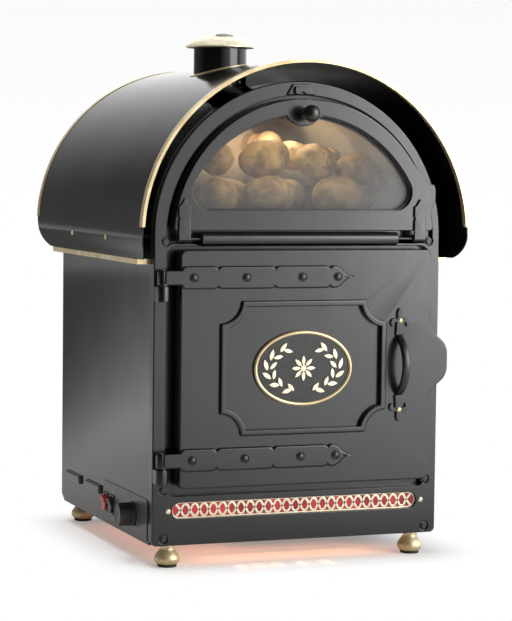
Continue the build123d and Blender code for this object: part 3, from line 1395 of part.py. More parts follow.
PIECES = {
    "front_casting": front_casting,
    "casting_bolts": casting_bolts,
    "display_catch": display_catch,
    "fret_grille": fret_grille,
    "red_lens": red_lens,
    "grille_screws": grille_screws,
    "glow_lamp": glow_lamp,
    "left_side_panel": left_side_panel,
    "right_side_panel": lambda: side_panel(1),
    "rear_panel": rear_panel,
    "arched_top_panel": arched_top_panel,
    "base_plate": base_plate,
    "cable_gland": cable_gland,
    "control_plate": control_plate,
    "roof_sheet": roof_sheet,
    "roof_trims": roof_trims,
    "side_strips": side_strips,
    "roof_spacers": roof_spacers,
    "roof_screws": roof_screws,
    "flue_pipe": flue_pipe,
    "flue_cap": flue_cap,
    "flue_cap_plate": flue_cap_plate,
    "brass_feet": brass_feet,
    "foot_pads": foot_pads,
    "oven_door_casting": oven_door_casting,
    "oven_door_inner_plate": oven_door_inner_plate,
    "oven_door_gasket": oven_door_gasket,
    "oven_door_straps": oven_door_straps,
    "strap_screws": strap_screws,
    "hinge_lugs": hinge_lugs,
    "oven_hinge_pins": oven_hinge_pins,
    "pull_handle": pull_handle,
    "handle_screws": handle_screws,
    "badge_rim": badge_rim,
    "badge_field": badge_field,
    "badge_ornament": badge_ornament,
    "display_door_frame": display_door_frame,
    "display_glass": display_glass,
    "glass_retainer": glass_retainer,
    "display_door_knob": display_door_knob,
    "display_straps": display_straps,
    "hinge_rod": hinge_rod,
    "display_hinge_barrel": display_hinge_barrel,
    "switch_housings": switch_housings,
    "oven_rocker": lambda: rocker(SWITCH_DEPTHS[0]),
    "lamp_rocker": lambda: rocker(SWITCH_DEPTHS[1]),
    "thermostat_body": thermostat_body,
    "thermostat_knob": thermostat_knob,
    "oven_liner": oven_liner,
    "oven_insulation": oven_insulation,
    "rack_runners": rack_runners,
    "wire_racks": wire_racks,
    "ring_element": ring_element,
    "fan_baffle": fan_baffle,
    "fan_rotor": fan_rotor,
    "fan_motor": fan_motor,
    "display_liner": display_liner,
    "display_floor": display_floor,
    "display_lamp": display_lamp,
    "display_potatoes": display_potatoes,
}

os.makedirs("parts", exist_ok=True)
for name, make in PIECES.items():
    save(make(), name)
print(len(PIECES), "nodes written")
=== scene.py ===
# %% [markdown]
# # A baked potato oven
# A cast-fronted counter oven with a lit display under a barrel roof. The imported model is loaded first.
# It fixes every size and every joint, so each piece made here only has to look right where it stands.

# %% Load the imported model
import json
import math

import bmesh
import bpy
from mathutils import Matrix, Vector, noise

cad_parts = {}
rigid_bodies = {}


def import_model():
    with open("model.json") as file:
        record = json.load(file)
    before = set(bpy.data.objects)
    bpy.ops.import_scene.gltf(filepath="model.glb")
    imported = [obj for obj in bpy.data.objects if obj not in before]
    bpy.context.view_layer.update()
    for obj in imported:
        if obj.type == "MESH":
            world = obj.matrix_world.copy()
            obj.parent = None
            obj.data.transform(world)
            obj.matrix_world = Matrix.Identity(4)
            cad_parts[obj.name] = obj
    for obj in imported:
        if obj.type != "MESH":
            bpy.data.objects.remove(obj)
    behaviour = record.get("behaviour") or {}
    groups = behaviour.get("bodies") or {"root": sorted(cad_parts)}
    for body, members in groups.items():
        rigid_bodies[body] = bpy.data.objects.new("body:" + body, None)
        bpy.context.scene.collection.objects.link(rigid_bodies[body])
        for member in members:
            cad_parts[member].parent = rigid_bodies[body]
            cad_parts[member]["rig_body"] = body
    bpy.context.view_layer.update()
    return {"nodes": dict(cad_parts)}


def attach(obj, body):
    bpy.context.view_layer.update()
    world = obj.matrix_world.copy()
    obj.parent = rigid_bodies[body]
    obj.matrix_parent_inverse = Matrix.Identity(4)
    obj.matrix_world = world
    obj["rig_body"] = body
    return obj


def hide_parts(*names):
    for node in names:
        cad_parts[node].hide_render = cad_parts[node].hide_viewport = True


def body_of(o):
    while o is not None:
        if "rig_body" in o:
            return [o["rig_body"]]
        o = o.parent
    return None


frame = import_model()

# %% [markdown]
# ## Measures
# Blender works in metres and the oven is drawn in millimetres, so one number turns one into the other.
# Depths are measured back from the face of the front casting, as a fitter would with a rule.

# %% Measures
MM = 0.001
CASTING_FACE = -238.75


def spot(x, depth, height):
    """A place on the oven, from millimetres across, back from the casting's face, and up."""
    return Vector((x * MM, (CASTING_FACE + depth) * MM, height * MM))


FACING_FRONT = Matrix.Rotation(math.radians(90), 4, "X")
FACING_LEFT = Matrix.Rotation(math.radians(-90), 4, "Y")
print("casting face at y =", round(spot(0, 0, 0).y, 5), "m")

# %% [markdown]
# ## Camera
# A product shot is taken from a few metres away with a long lens, which keeps the sides nearly parallel.
# The camera could be aimed with a constraint, but three measured angles are exact and leave nothing live.

# %% Camera
CAMERA_PLACE = Vector((-1.24286, -3.29259, 0.60542))
YAW = math.radians(21.02)
PITCH = math.radians(3.95)
ROLL = math.radians(0.68)
forward = Vector((math.sin(YAW) * math.cos(PITCH), math.cos(YAW) * math.cos(PITCH), -math.sin(PITCH)))
level_right = Vector((math.cos(YAW), -math.sin(YAW), 0))
level_up = level_right.cross(forward)
camera_right = math.cos(ROLL) * level_right + math.sin(ROLL) * level_up
camera_up = math.cos(ROLL) * level_up - math.sin(ROLL) * level_right
turned = Matrix((camera_right, camera_up, -forward)).transposed()
lens = bpy.data.cameras.new("camera")
lens.sensor_fit = "VERTICAL"
lens.sensor_height = 36
lens.lens = 128.38
lens.clip_end = 100
camera = bpy.data.objects.new("camera", lens)
camera.matrix_world = Matrix.Translation(CAMERA_PLACE) @ turned.to_4x4()
bpy.context.scene.collection.objects.link(camera)
bpy.context.scene.camera = camera
print("camera at", tuple(round(value, 3) for value in CAMERA_PLACE), "lens", lens.lens, "mm")

# %% [markdown]
# ## Shader helpers
# Every finish is a small tree of nodes. One function turns a written colour into light, and one adds a
# node with its settings and its links. A socket is given either a value or another node's output.

# %% Shader helpers


def colour(text):
    """A hex colour, as written on a paint card, turned to linear light."""
    shares = [int(text[index:index + 2], 16) / 255 for index in (1, 3, 5)]
    return (*[share / 12.92 if share <= 0.04045 else ((share + 0.055) / 1.055) ** 2.4 for share in shares], 1)


def node(tree, kind, wires=(), **settings):
    """A node of one kind, with its settings, and its sockets given values or linked."""
    made = tree.nodes.new(kind)
    for name, value in settings.items():
        setattr(made, name, value)
    for key, value in dict(wires).items():
        if isinstance(value, bpy.types.NodeSocket):
            tree.links.new(value, made.inputs[key])
        else:
            made.inputs[key].default_value = value
    return made


def blank_tree(owner):
    owner.use_nodes = True
    owner.node_tree.nodes.clear()
    return owner.node_tree


print("white is", colour("#ffffff"))

# %% [markdown]
# ## Studio
# The oven stands on white paper that runs up behind it. The paper is lit until it burns out to white,
# so away from the oven the floor simply shows white to the camera, and near it the real shading stays.
# The world is white to the camera and quieter as a light. In reflections it is a dim studio with one bright
# side: in front it brightens from left to right, behind it does the same after a dark trough at the left,
# it glows just under the horizon behind, and it darkens overhead. Rays are told apart by the light path.

# %% World
AMBIENT = 0.3
world = bpy.data.worlds.new("studio")
bpy.context.scene.world = world
air = blank_tree(world)
path = node(air, "ShaderNodeLightPath")
look = node(air, "ShaderNodeTexCoord")
ways = node(air, "ShaderNodeSeparateXYZ", {0: look.outputs["Generated"]})
height = ways.outputs["Z"]
paper_white = node(air, "ShaderNodeMapRange", {"Value": height, "From Min": -0.02, "From Max": 0.12,
                                               "To Min": 1.0, "To Max": 0.93})
before = node(air, "ShaderNodeMapRange", {"Value": ways.outputs["X"], "From Min": -0.3, "From Max": 0.5,
                                          "To Min": 0.03, "To Max": 1.5})
across = node(air, "ShaderNodeMapRange", {"Value": ways.outputs["X"], "From Min": -0.4, "From Max": 0.4})
after = node(air, "ShaderNodeValToRGB", {"Fac": across.outputs[0]})
after.color_ramp.elements[0].position = 0.11
after.color_ramp.elements[0].color = (0.2, 0.2, 0.2, 1)
after.color_ramp.elements[1].position = 0.88
after.color_ramp.elements[1].color = (1.4, 1.4, 1.4, 1)
trough = after.color_ramp.elements.new(0.165)
trough.color = (0.07, 0.07, 0.07, 1)
skyline = node(air, "ShaderNodeMapRange", {"Value": height, "From Min": -0.05, "From Max": -0.02,
                                           "To Min": 4.5, "To Max": 1.0})
lifted = node(air, "ShaderNodeMath", {0: after.outputs[0], 1: skyline.outputs[0]}, operation="MULTIPLY")
rearward = node(air, "ShaderNodeMapRange", {"Value": ways.outputs["Y"], "From Min": 0.0, "From Max": 0.6})
level = node(air, "ShaderNodeMix", {0: rearward.outputs[0], 2: before.outputs[0], 3: lifted.outputs[0]})
overhead = node(air, "ShaderNodeMapRange", {"Value": height, "From Min": 0.6, "From Max": 0.9,
                                            "To Min": 1.0, "To Max": 0.08})
mirrored = node(air, "ShaderNodeMath", {0: level.outputs[0], 1: overhead.outputs[0]}, operation="MULTIPLY")
behind = node(air, "ShaderNodeMath", {0: path.outputs["Is Camera Ray"],
                                      1: path.outputs["Is Transmission Ray"]}, operation="MAXIMUM")
light = node(air, "ShaderNodeMix", {0: path.outputs["Is Glossy Ray"], 2: AMBIENT, 3: mirrored.outputs[0]})
strength = node(air, "ShaderNodeMix", {0: behind.outputs[0], 2: light.outputs[0], 3: paper_white.outputs[0]})
sky = node(air, "ShaderNodeBackground", {"Color": colour("#ffffff"), "Strength": strength.outputs[0]})
node(air, "ShaderNodeOutputWorld", {"Surface": sky.outputs[0]})
bpy.context.scene.view_settings.view_transform = "Standard"
print("world ambient", AMBIENT)

# %% [markdown]
# ### Floor
# The same split is made on the paper. Near the oven it is plain diffuse white that keeps a shadow, and a
# little way outside the oven's footprint it turns into burnt-out white for the camera. In reflections it
# is bright or dark by its bearing from the oven, so its mirrored picture is close to the world's.

# %% Floor
FOOTPRINT = (0.2, 0.21, 0)
paper = bpy.data.materials.new("white background paper")
tree = blank_tree(paper)
path = node(tree, "ShaderNodeLightPath")
tone = node(tree, "ShaderNodeMix", {0: path.outputs["Is Glossy Ray"], 6: colour("#f4f3f1"),
                                    7: colour("#cccbc8")}, data_type="RGBA")
sheet = node(tree, "ShaderNodeBsdfDiffuse", {"Color": tone.outputs[2]})
where = node(tree, "ShaderNodeTexCoord")
sides = node(tree, "ShaderNodeSeparateXYZ", {0: where.outputs["Object"]})
ahead = node(tree, "ShaderNodeMath", {0: sides.outputs["Y"]}, operation="ABSOLUTE")
ahead = node(tree, "ShaderNodeMath", {0: ahead.outputs[0], 1: 0.3}, operation="MAXIMUM")
bearing = node(tree, "ShaderNodeMath", {0: sides.outputs["X"], 1: ahead.outputs[0]}, operation="DIVIDE")
in_front = node(tree, "ShaderNodeMapRange", {"Value": bearing.outputs[0], "From Min": -0.32, "From Max": 0.45,
                                             "To Min": 0.03, "To Max": 2.0})
at_back = node(tree, "ShaderNodeMapRange", {"Value": bearing.outputs[0], "From Min": -0.5, "From Max": -0.34,
                                            "To Min": 1.0, "To Max": 0.13})
rear = node(tree, "ShaderNodeMath", {0: sides.outputs["Y"], 1: 0.0}, operation="GREATER_THAN")
shown = node(tree, "ShaderNodeMix", {0: rear.outputs[0], 2: in_front.outputs[0], 3: at_back.outputs[0]})
power = node(tree, "ShaderNodeMix", {0: path.outputs["Is Glossy Ray"], 2: 1.0, 3: shown.outputs[0]})
burnt = node(tree, "ShaderNodeEmission", {"Color": colour("#ffffff"), "Strength": power.outputs[0]})
middle = node(tree, "ShaderNodeVectorMath", {0: where.outputs["Object"]}, operation="LENGTH")
mirrored = node(tree, "ShaderNodeVectorMath", {0: where.outputs["Object"]}, operation="ABSOLUTE")
past = node(tree, "ShaderNodeVectorMath", {0: mirrored.outputs[0], 1: FOOTPRINT}, operation="SUBTRACT")
outside = node(tree, "ShaderNodeVectorMath", {0: past.outputs[0], 1: (0, 0, 0)}, operation="MAXIMUM")
away = node(tree, "ShaderNodeVectorMath", {0: outside.outputs[0]}, operation="LENGTH")
fade = node(tree, "ShaderNodeMapRange", {"Value": away.outputs["Value"], "From Min": 0.0, "From Max": 0.12,
                                         "To Min": 0.25, "To Max": 1.0}, interpolation_type="SMOOTHSTEP")
far = node(tree, "ShaderNodeMapRange", {"Value": middle.outputs["Value"], "From Min": 0.5, "From Max": 1.7,
                                        "To Max": 1.0})
seen = node(tree, "ShaderNodeMath", {0: fade.outputs[0], 1: path.outputs["Is Camera Ray"]},
            operation="MULTIPLY")
share = node(tree, "ShaderNodeMath", {0: far.outputs[0], 1: path.outputs["Is Glossy Ray"],
                                      2: seen.outputs[0]}, operation="MULTIPLY_ADD")
mixed = node(tree, "ShaderNodeMixShader", {0: share.outputs[0], 1: sheet.outputs[0], 2: burnt.outputs[0]})
node(tree, "ShaderNodeOutputMaterial", {"Surface": mixed.outputs[0]})
FLOOR_HALF = 8.0
bm = bmesh.new()
bmesh.ops.create_grid(bm, x_segments=1, y_segments=1, size=FLOOR_HALF)
floor_mesh = bpy.data.meshes.new("floor")
bm.to_mesh(floor_mesh)
bm.free()
floor_mesh.materials.append(paper)
floor = bpy.data.objects.new("floor", floor_mesh)
bpy.context.scene.collection.objects.link(floor)
print("floor", 2 * FLOOR_HALF, "m across")

# %% [markdown]
# ## Lamps
# One large softbox stands to the right in front and throws every shadow to the left. Its picture in the
# satin paint is what brightens the right side of the castings. A second hangs above and only lights: it is
# kept out of reflections, so that every edge facing up stays a crisp dark line.

# %% Lamps


def softbox(name, place, target, width, height, power, tint="#ffffff"):
    lamp = bpy.data.lights.new(name, "AREA")
    lamp.shape = "RECTANGLE"
    lamp.size = width
    lamp.size_y = height
    lamp.energy = power
    lamp.color = colour(tint)[:3]
    holder = bpy.data.objects.new(name, lamp)
    aim = (Vector(target) - Vector(place)).to_track_quat("-Z", "Y")
    holder.matrix_world = Matrix.Translation(place) @ aim.to_matrix().to_4x4()
    bpy.context.scene.collection.objects.link(holder)
    return holder


def unseen(holder):
    """A lamp that lights but shows in no reflection and through no glass."""
    holder.visible_camera = False
    holder.visible_glossy = False
    holder.visible_transmission = False


softbox("key softbox", (2.35, -2.8, 1.45), (0, -0.2, 0.4), 2.3, 2.8, 98)
overhead_lamp = softbox("top softbox", (-0.3, 0.1, 2.6), (0, 0, 0.6), 2.2, 1.4, 60)
overhead_lamp.visible_glossy = False
print("two softboxes")

# %% [markdown]
# ## Light inside the oven
# A warm bulb burns behind the stacked potatoes, helped by two soft glows that stand for its light coming
# back off the display's ceiling and front. A tubular lamp behind the red grille also shines down through
# the base: two wide glows warm the floor, and ten narrow ones draw the row of slots.

# %% Light inside the oven
bulb = bpy.data.lights.new("display bulb", "POINT")
bulb.energy = 0.75
bulb.shadow_soft_size = 0.012
bulb.color = colour("#ffe3bd")[:3]
holder = bpy.data.objects.new("display bulb", bulb)
holder.location = spot(5, 195, 600)
bpy.context.scene.collection.objects.link(holder)
unseen(holder)
unseen(softbox("display ceiling glow", spot(10, 150, 664), spot(10, 150, 560), 0.1, 0.12, 0.5, "#f6ecdd"))
unseen(softbox("display front glow", spot(0, 22, 655), spot(10, 110, 560), 0.3, 0.03, 0.14, "#fff1de"))
unseen(softbox("grille lamp", spot(0, 62, 72), spot(0, 75, 0), 0.3, 0.012, 0.35, "#ff9a5a"))
unseen(softbox("base glow", spot(0, 60, 33), spot(0, 60, 0), 0.38, 0.1, 0.1, "#ffb890"))
unseen(softbox("left base glow", spot(-130, 240, 33), spot(-130, 240, 0), 0.16, 0.36, 0.1, "#ff9f68"))
BASE_UNDERSIDE = 33
for x in (-86, -58, -30, 10, 50):
    for depth in (14, 30):
        patch = softbox("slot glow", spot(x, depth, BASE_UNDERSIDE), spot(x - 6, depth - 40, 0),
                        0.014, 0.005, 0.0024, "#ff8a50")
        patch.data.spread = math.radians(26)
        unseen(patch)
print("inner lights")

# %% [markdown]
# ## Finishes
# Each finish starts from the real material. The shader's own sockets carry what is the same all over,
# and nodes carry only what changes from place to place: grain, mottling and small bumps.

# %% Finish helpers
FINISHES = {}


def finish(slot, name, **values):
    """A finish kept under the name of its slot: its tree and its main shader."""
    material = bpy.data.materials.new(name)
    tree = blank_tree(material)
    shader = node(tree, "ShaderNodeBsdfPrincipled")
    for key, value in values.items():
        shader.inputs[key.replace("_", " ")].default_value = value
    node(tree, "ShaderNodeOutputMaterial", {"Surface": shader.outputs[0]})
    FINISHES[slot] = material
    return tree, shader


def grain(tree, size, detail=2.0, stretch=(1, 1, 1)):
    """A noise whose lumps are about as wide as the size, in millimetres."""
    where = tree.nodes.get("Texture Coordinate") or node(tree, "ShaderNodeTexCoord")
    turned = node(tree, "ShaderNodeMapping", {"Vector": where.outputs["Object"], "Scale": stretch})
    return node(tree, "ShaderNodeTexNoise",
                {"Vector": turned.outputs[0], "Scale": 1 / (size * MM), "Detail": detail}).outputs["Fac"]


def mottle(tree, shader, fac, dark, light, low=0.35, high=0.65):
    """Base colour that drifts between two paints."""
    ramp = node(tree, "ShaderNodeValToRGB", {"Fac": fac})
    ramp.color_ramp.elements[0].position = low
    ramp.color_ramp.elements[0].color = colour(dark)
    ramp.color_ramp.elements[1].position = high
    ramp.color_ramp.elements[1].color = colour(light)
    tree.links.new(ramp.outputs["Color"], shader.inputs["Base Color"])
    return ramp.outputs["Color"]


def sheen_drift(tree, shader, fac, low, high):
    """Roughness that drifts between two values."""
    drift = node(tree, "ShaderNodeMapRange", {"Value": fac, "From Min": 0.3, "From Max": 0.7,
                                              "To Min": low, "To Max": high})
    tree.links.new(drift.outputs[0], shader.inputs["Roughness"])


def relief(tree, shader, steps):
    """Bumps laid one on another; each step is a height and how far it rises, in millimetres."""
    normal = None
    for height, rise in steps:
        wires = {"Height": height, "Distance": rise * MM, "Strength": 1.0}
        if normal:
            wires["Normal"] = normal
        normal = node(tree, "ShaderNodeBump", wires).outputs[0]
    tree.links.new(normal, shader.inputs["Normal"])


print("finish helpers ready")

# %% [markdown]
# ### Painted cast iron
# The front, both doors and the straps are grey iron cast in sand and stove-painted satin black. The sand's
# fine pebble is filled by the paint, so here it only varies the gloss. The flats wander slightly over a few
# centimetres, which makes reflections soft and uneven.

# %% Painted cast iron
tree, shader = finish("cast_front", "satin black stove paint on sand-cast iron", Roughness=0.21, IOR=1.65)
broad = grain(tree, 60, 1)
pebble = grain(tree, 6, 1)
mottle(tree, shader, broad, "#0c0c0d", "#121213")
sheen_drift(tree, shader, pebble, 0.2, 0.23)
relief(tree, shader, [(broad, 0.24), (grain(tree, 18, 1), 0.02)])
print("cast_front done")

# %% [markdown]
# ### Enamelled sheet
# The casing is thin steel with fired black enamel: very glossy, with the faint orange peel that glass takes
# as it melts, on a sheet that is never quite flat. The roof has the same enamel, a little less glossy.

# %% Enamelled sheet
for slot, name, rough in (("casing_enamel", "fired black enamel on flat steel", 0.10),
                          ("roof_enamel", "fired black enamel on rolled steel", 0.13)):
    tree, shader = finish(slot, name, Roughness=rough, IOR=1.52)
    drift = grain(tree, 120, 1)
    peel = grain(tree, 9, 1)
    mottle(tree, shader, drift, "#0d0c0a", "#12110f")
    relief(tree, shader, [(drift, 0.3), (peel, 0.01)])
print("enamels done")

# %% [markdown]
# ### Brass
# Trims and the badge's rim are polished brass, feet and roof screws are brass left satin from the lathe.
# Real brass is never one yellow: it tarnishes in soft patches, and polishing leaves hairline marks. It is
# given two thirds of a metal's reflection, so that its straw colour still shows where it mirrors the dark.

# %% Brass
for slot, name, tone, dull, rough in (("brass", "polished brass", "#e6d4aa", "#d3bb88", 0.18),
                                      ("satin_brass", "satin turned brass", "#eee0ba", "#d4c091", 0.42)):
    tree, shader = finish(slot, name, Metallic=0.65, Roughness=rough)
    patch = grain(tree, 26, 3)
    mottle(tree, shader, patch, dull, tone)
    sheen_drift(tree, shader, patch, rough * 0.85, rough * 1.25)
    relief(tree, shader, [(grain(tree, 2.5, 2, (1, 1, 6)), 0.006)])
print("brasses done")

# %% [markdown]
# ### Steels
# Bolts and the handle are blackened steel, pins, runners and the fan are zinc-bright, the racks are chromed
# wire and the liner is aluminised sheet with a faint spangle. The bright ones are full metals. Blackening
# is an oxide film, so it has none of that reflection, and the liners have part of it. The display's liner
# is dark brown up to a wandering line, and pale above.

# %% Steels
tree, shader = finish("black_steel", "oil-blackened steel", Roughness=0.34, IOR=1.6)
mottle(tree, shader, grain(tree, 12, 3), "#0e0e0f", "#171718")
relief(tree, shader, [(grain(tree, 2.4, 2), 0.03)])
tree, shader = finish("bright_steel", "zinc-plated steel", Metallic=1.0, Roughness=0.28)
mottle(tree, shader, grain(tree, 8, 2), "#a9a9a6", "#c4c4c0")
relief(tree, shader, [(grain(tree, 2, 1), 0.01)])
tree, shader = finish("rack_chrome", "chromed wire", Metallic=1.0, Roughness=0.14)
mottle(tree, shader, grain(tree, 30, 2), "#b9b8b4", "#d2d1cd")
tree, shader = finish("liner_steel", "aluminised sheet steel", Metallic=0.7, Roughness=0.4)
spangle = node(tree, "ShaderNodeTexVoronoi",
               {"Vector": node(tree, "ShaderNodeTexCoord").outputs["Object"], "Scale": 1 / (14 * MM)})
mottle(tree, shader, spangle.outputs["Distance"], "#b3afa5", "#cbc6ba", 0.1, 0.7)
sheen_drift(tree, shader, grain(tree, 18, 2), 0.3, 0.44)
tree, shader = finish("liner_dark_below", "aluminised sheet steel, dark below a wandering line", Metallic=0.5,
                      Roughness=0.45)
# The display's liner is coloured dark brown below a wandering line near the top, and pale above it.
line_wander = grain(tree, 30, 3)
where = node(tree, "ShaderNodeTexCoord")
level = node(tree, "ShaderNodeSeparateXYZ", {0: where.outputs["Object"]})
wandering_height = node(tree, "ShaderNodeMath", {0: line_wander, 1: 0.03, 2: level.outputs["Z"]}, operation="MULTIPLY_ADD")
above_line = node(tree, "ShaderNodeMapRange", {"Value": wandering_height.outputs[0], "From Min": 0.575, "From Max": 0.62})
mottle(tree, shader, above_line.outputs[0], "#1d1813", "#d6ccb8", 0.0, 1.0)
print("steels done")

# %% [markdown]
# ### Glass, lens and lamp
# The window is toughened glass, fogged by steam, so part of the light scatters from its face as a pale
# veil, thicker towards the bottom and the right. Clear glass alone would need long light paths and would
# still be noisy, so the veil is the shader's alpha. The lens is red acrylic with a lamp behind it.

# %% Glass, lens and lamp
tree, shader = finish("window_glass", "steamed toughened glass", Roughness=0.08, IOR=1.5)
steam = grain(tree, 70, 2)
mottle(tree, shader, steam, "#8d8b8a", "#9a9894")
where = node(tree, "ShaderNodeTexCoord")
down = node(tree, "ShaderNodeSeparateXYZ", {0: where.outputs["Object"]})
veil = node(tree, "ShaderNodeMapRange", {"Value": down.outputs["Z"], "From Min": 0.52, "From Max": 0.66,
                                         "To Min": 0.26, "To Max": 0.08})
side = node(tree, "ShaderNodeMapRange", {"Value": down.outputs["X"], "From Min": -0.17, "From Max": 0.17,
                                         "To Min": 0.75, "To Max": 1.25})
both = node(tree, "ShaderNodeMath", {0: veil.outputs[0], 1: side.outputs[0]}, operation="MULTIPLY")
drift = node(tree, "ShaderNodeMath", {0: steam, 1: 0.06, 2: both.outputs[0]}, operation="MULTIPLY_ADD")
tree.links.new(drift.outputs[0], shader.inputs["Alpha"])
# The lens is no lamp: its glow is painted light, an uneven red emission that stands for the lamp shining
# through it.
tree, shader = finish("red_lens", "lit red acrylic", Roughness=0.18, IOR=1.49)
glow = grain(tree, 26, 2, (1, 0.2, 0.8))
red = mottle(tree, shader, glow, "#7a1a1f", "#c4353a", 0.3, 0.75)
tree.links.new(red, shader.inputs["Emission Color"])
shader.inputs["Emission Strength"].default_value = 0.36
relief(tree, shader, [(grain(tree, 5, 1), 0.05)])
tree, shader = finish("lamp", "lit lamp glass", Roughness=0.2, Emission_Strength=0.25)
warm = mottle(tree, shader, grain(tree, 20, 1), "#b98f5f", "#c9a577")
tree.links.new(warm, shader.inputs["Emission Color"])
print("glass, lens and lamp done")

# %% [markdown]
# ### Plastics, rubber and fibre
# The controls are moulded plastic on a brushed and lacquered plate, the foot pads rubber, the door seal
# woven glass fibre and the lagging a felted ceramic blanket round a cast motor. Weave and felt are drawn a
# little coarse, so that they show at all.

# %% Plastics, rubber and fibre
tree, shader = finish("black_plastic", "gloss-moulded black phenolic", Roughness=0.34, IOR=1.7)
mottle(tree, shader, grain(tree, 20, 2), "#0d0d0d", "#131312")
relief(tree, shader, [(grain(tree, 6, 1), 0.01)])
# The red rocker's faint glow is painted light, an emission that stands for the neon lamp inside the switch.
tree, shader = finish("red_rocker", "moulded red polycarbonate", Roughness=0.08, IOR=1.58)
red = mottle(tree, shader, grain(tree, 9, 1), "#8c1c15", "#a3261b")
tree.links.new(red, shader.inputs["Emission Color"])
shader.inputs["Emission Strength"].default_value = 0.1
tree, shader = finish("control_plate", "grey lacquered metal control plate", Metallic=0.35, Roughness=0.34)
mottle(tree, shader, grain(tree, 2, 2, (1, 0.08, 1)), "#4c4b4e", "#57565a")
relief(tree, shader, [(grain(tree, 2, 2, (1, 0.08, 1)), 0.008)])
tree, shader = finish("rubber", "moulded black rubber", Roughness=0.62, IOR=1.5)
mottle(tree, shader, grain(tree, 4, 2), "#151513", "#1f1e1c")
relief(tree, shader, [(grain(tree, 1.6, 2), 0.03)])
tree, shader = finish("gasket", "woven glass-fibre seal", Roughness=0.9)
where = node(tree, "ShaderNodeTexCoord")
weave = node(tree, "ShaderNodeTexChecker", {"Vector": where.outputs["Object"], "Scale": 1 / (3 * MM)})
mottle(tree, shader, grain(tree, 5, 2), "#77746b", "#96938a")
relief(tree, shader, [(weave.outputs["Fac"], 0.3)])
tree, shader = finish("blanket", "felted ceramic-fibre blanket", Roughness=0.95)
mottle(tree, shader, grain(tree, 14, 4), "#c9c4b6", "#e2ddd0")
relief(tree, shader, [(grain(tree, 4, 4), 0.6)])
tree, shader = finish("motor_body", "cast aluminium motor case", Metallic=1.0, Roughness=0.42)
mottle(tree, shader, grain(tree, 18, 3), "#8f8d83", "#a6a398")
print("plastics, rubber and fibre done")

# %% [markdown]
# ### Badge ground and relief
# The badge is die-cast: its ground is filled with black paint and its raised lines are rubbed back to
# bright brass, so the two finishes meet along every edge of the ornament. The fret, its screws, the flue's
# cap and the marks on the control plate are rubbed just as bright, and share the relief's finish.

# %% Badge ground and relief
tree, shader = finish("badge_ground", "black paint fill in a die-cast badge", Roughness=0.3, IOR=1.5)
mottle(tree, shader, grain(tree, 10, 2), "#1d1d1c", "#262625")
relief(tree, shader, [(grain(tree, 1.8, 2), 0.05)])
tree, shader = finish("badge_relief", "rubbed bright brass relief", Metallic=0.45, Roughness=0.25)
mottle(tree, shader, grain(tree, 7, 2), "#e8dab8", "#f7efd9")
relief(tree, shader, [(grain(tree, 2, 2), 0.02)])
print("badge finishes done")

# %% [markdown]
# ### Baked potato skin
# A baked skin is dry, leathery and freckled. Browns drift over a few centimetres, dark specks sit on top,
# and the surface wrinkles finely where the flesh has shrunk.

# %% Baked potato skin
tree, shader = finish("potato", "baked potato skin", Roughness=0.62, IOR=1.4)
broad = grain(tree, 24, 4)
base = node(tree, "ShaderNodeValToRGB", {"Fac": broad})
base.color_ramp.elements[0].position = 0.36
base.color_ramp.elements[0].color = colour("#765a32")
base.color_ramp.elements[1].position = 0.66
base.color_ramp.elements[1].color = colour("#b99a5e")
speck = node(tree, "ShaderNodeMapRange", {"Value": grain(tree, 4.5, 3), "From Min": 0.6, "From Max": 0.7})
freckled = node(tree, "ShaderNodeMix", {0: speck.outputs[0], 6: base.outputs["Color"], 7: colour("#4a3220")},
                data_type="RGBA")
tree.links.new(freckled.outputs[2], shader.inputs["Base Color"])
relief(tree, shader, [(broad, 0.8), (grain(tree, 5, 4), 0.35)])
print("potato done")

# %% [markdown]
# ## Making pieces
# A finished mesh becomes an object at the origin, shaded smooth except over sharp edges. It takes its finish
# from a slot, is hung on the body that carries it, and the imported nodes it stands for are hidden.

# %% Making pieces
SHARP = 40


def piece(bm, name, slot, body="cabinet", stands_for=(), smooth=SHARP, levels=0):
    """A finished piece from a bmesh. Levels above 0 round it with a subdivision surface."""
    mesh = bpy.data.meshes.new(name)
    bm.to_mesh(mesh)
    bm.free()
    mesh.materials.append(FINISHES[slot])
    mesh.shade_smooth()
    mesh.set_sharp_from_angle(angle=math.radians(smooth))
    made = bpy.data.objects.new(name, mesh)
    bpy.context.scene.collection.objects.link(made)
    if levels:
        rounding = made.modifiers.new("Subdivision", "SUBSURF")
        rounding.levels = levels
        rounding.render_levels = levels
    else:
        shading = made.modifiers.new("Weighted normals", "WEIGHTED_NORMAL")
        shading.keep_sharp = True
    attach(made, body)
    if stands_for:
        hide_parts(*stands_for)
    print(name, len(mesh.polygons), "faces on", body)
    return made


# %% [markdown]
# ## Eased copies
# Nothing cast, pressed or moulded has a knife edge: paint and wear round every corner by a few tenths on
# sheet and by one to three millimetres on castings, and that round is what catches the light. A packed
# node's mesh is loose triangles, so it is left alone, and a copy is merged, its flats are joined up, and its
# sharp edges are bevelled. The bevel isn't clamped, so on the straps and in tight corners it overlaps itself.

# %% Eased copies


def eased(name, slot, width):
    """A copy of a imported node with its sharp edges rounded, by a width in millimetres."""
    source = frame["nodes"][name]
    bm = bmesh.new()
    bm.from_mesh(source.data)
    bmesh.ops.remove_doubles(bm, verts=bm.verts, dist=0.01 * MM)
    if width:
        bmesh.ops.dissolve_limit(bm, angle_limit=math.radians(0.6), verts=bm.verts, edges=bm.edges)
        sharp = [edge for edge in bm.edges
                 if len(edge.link_faces) == 2 and edge.calc_face_angle_signed() > math.radians(SHARP)]
        bmesh.ops.bevel(bm, geom=sharp, offset=width * MM, offset_type="OFFSET", affect="EDGES",
                        segments=2, profile=0.5, material=-1, clamp_overlap=False)
    return piece(bm, name + "_eased", slot, body_of(source)[0], (name,))


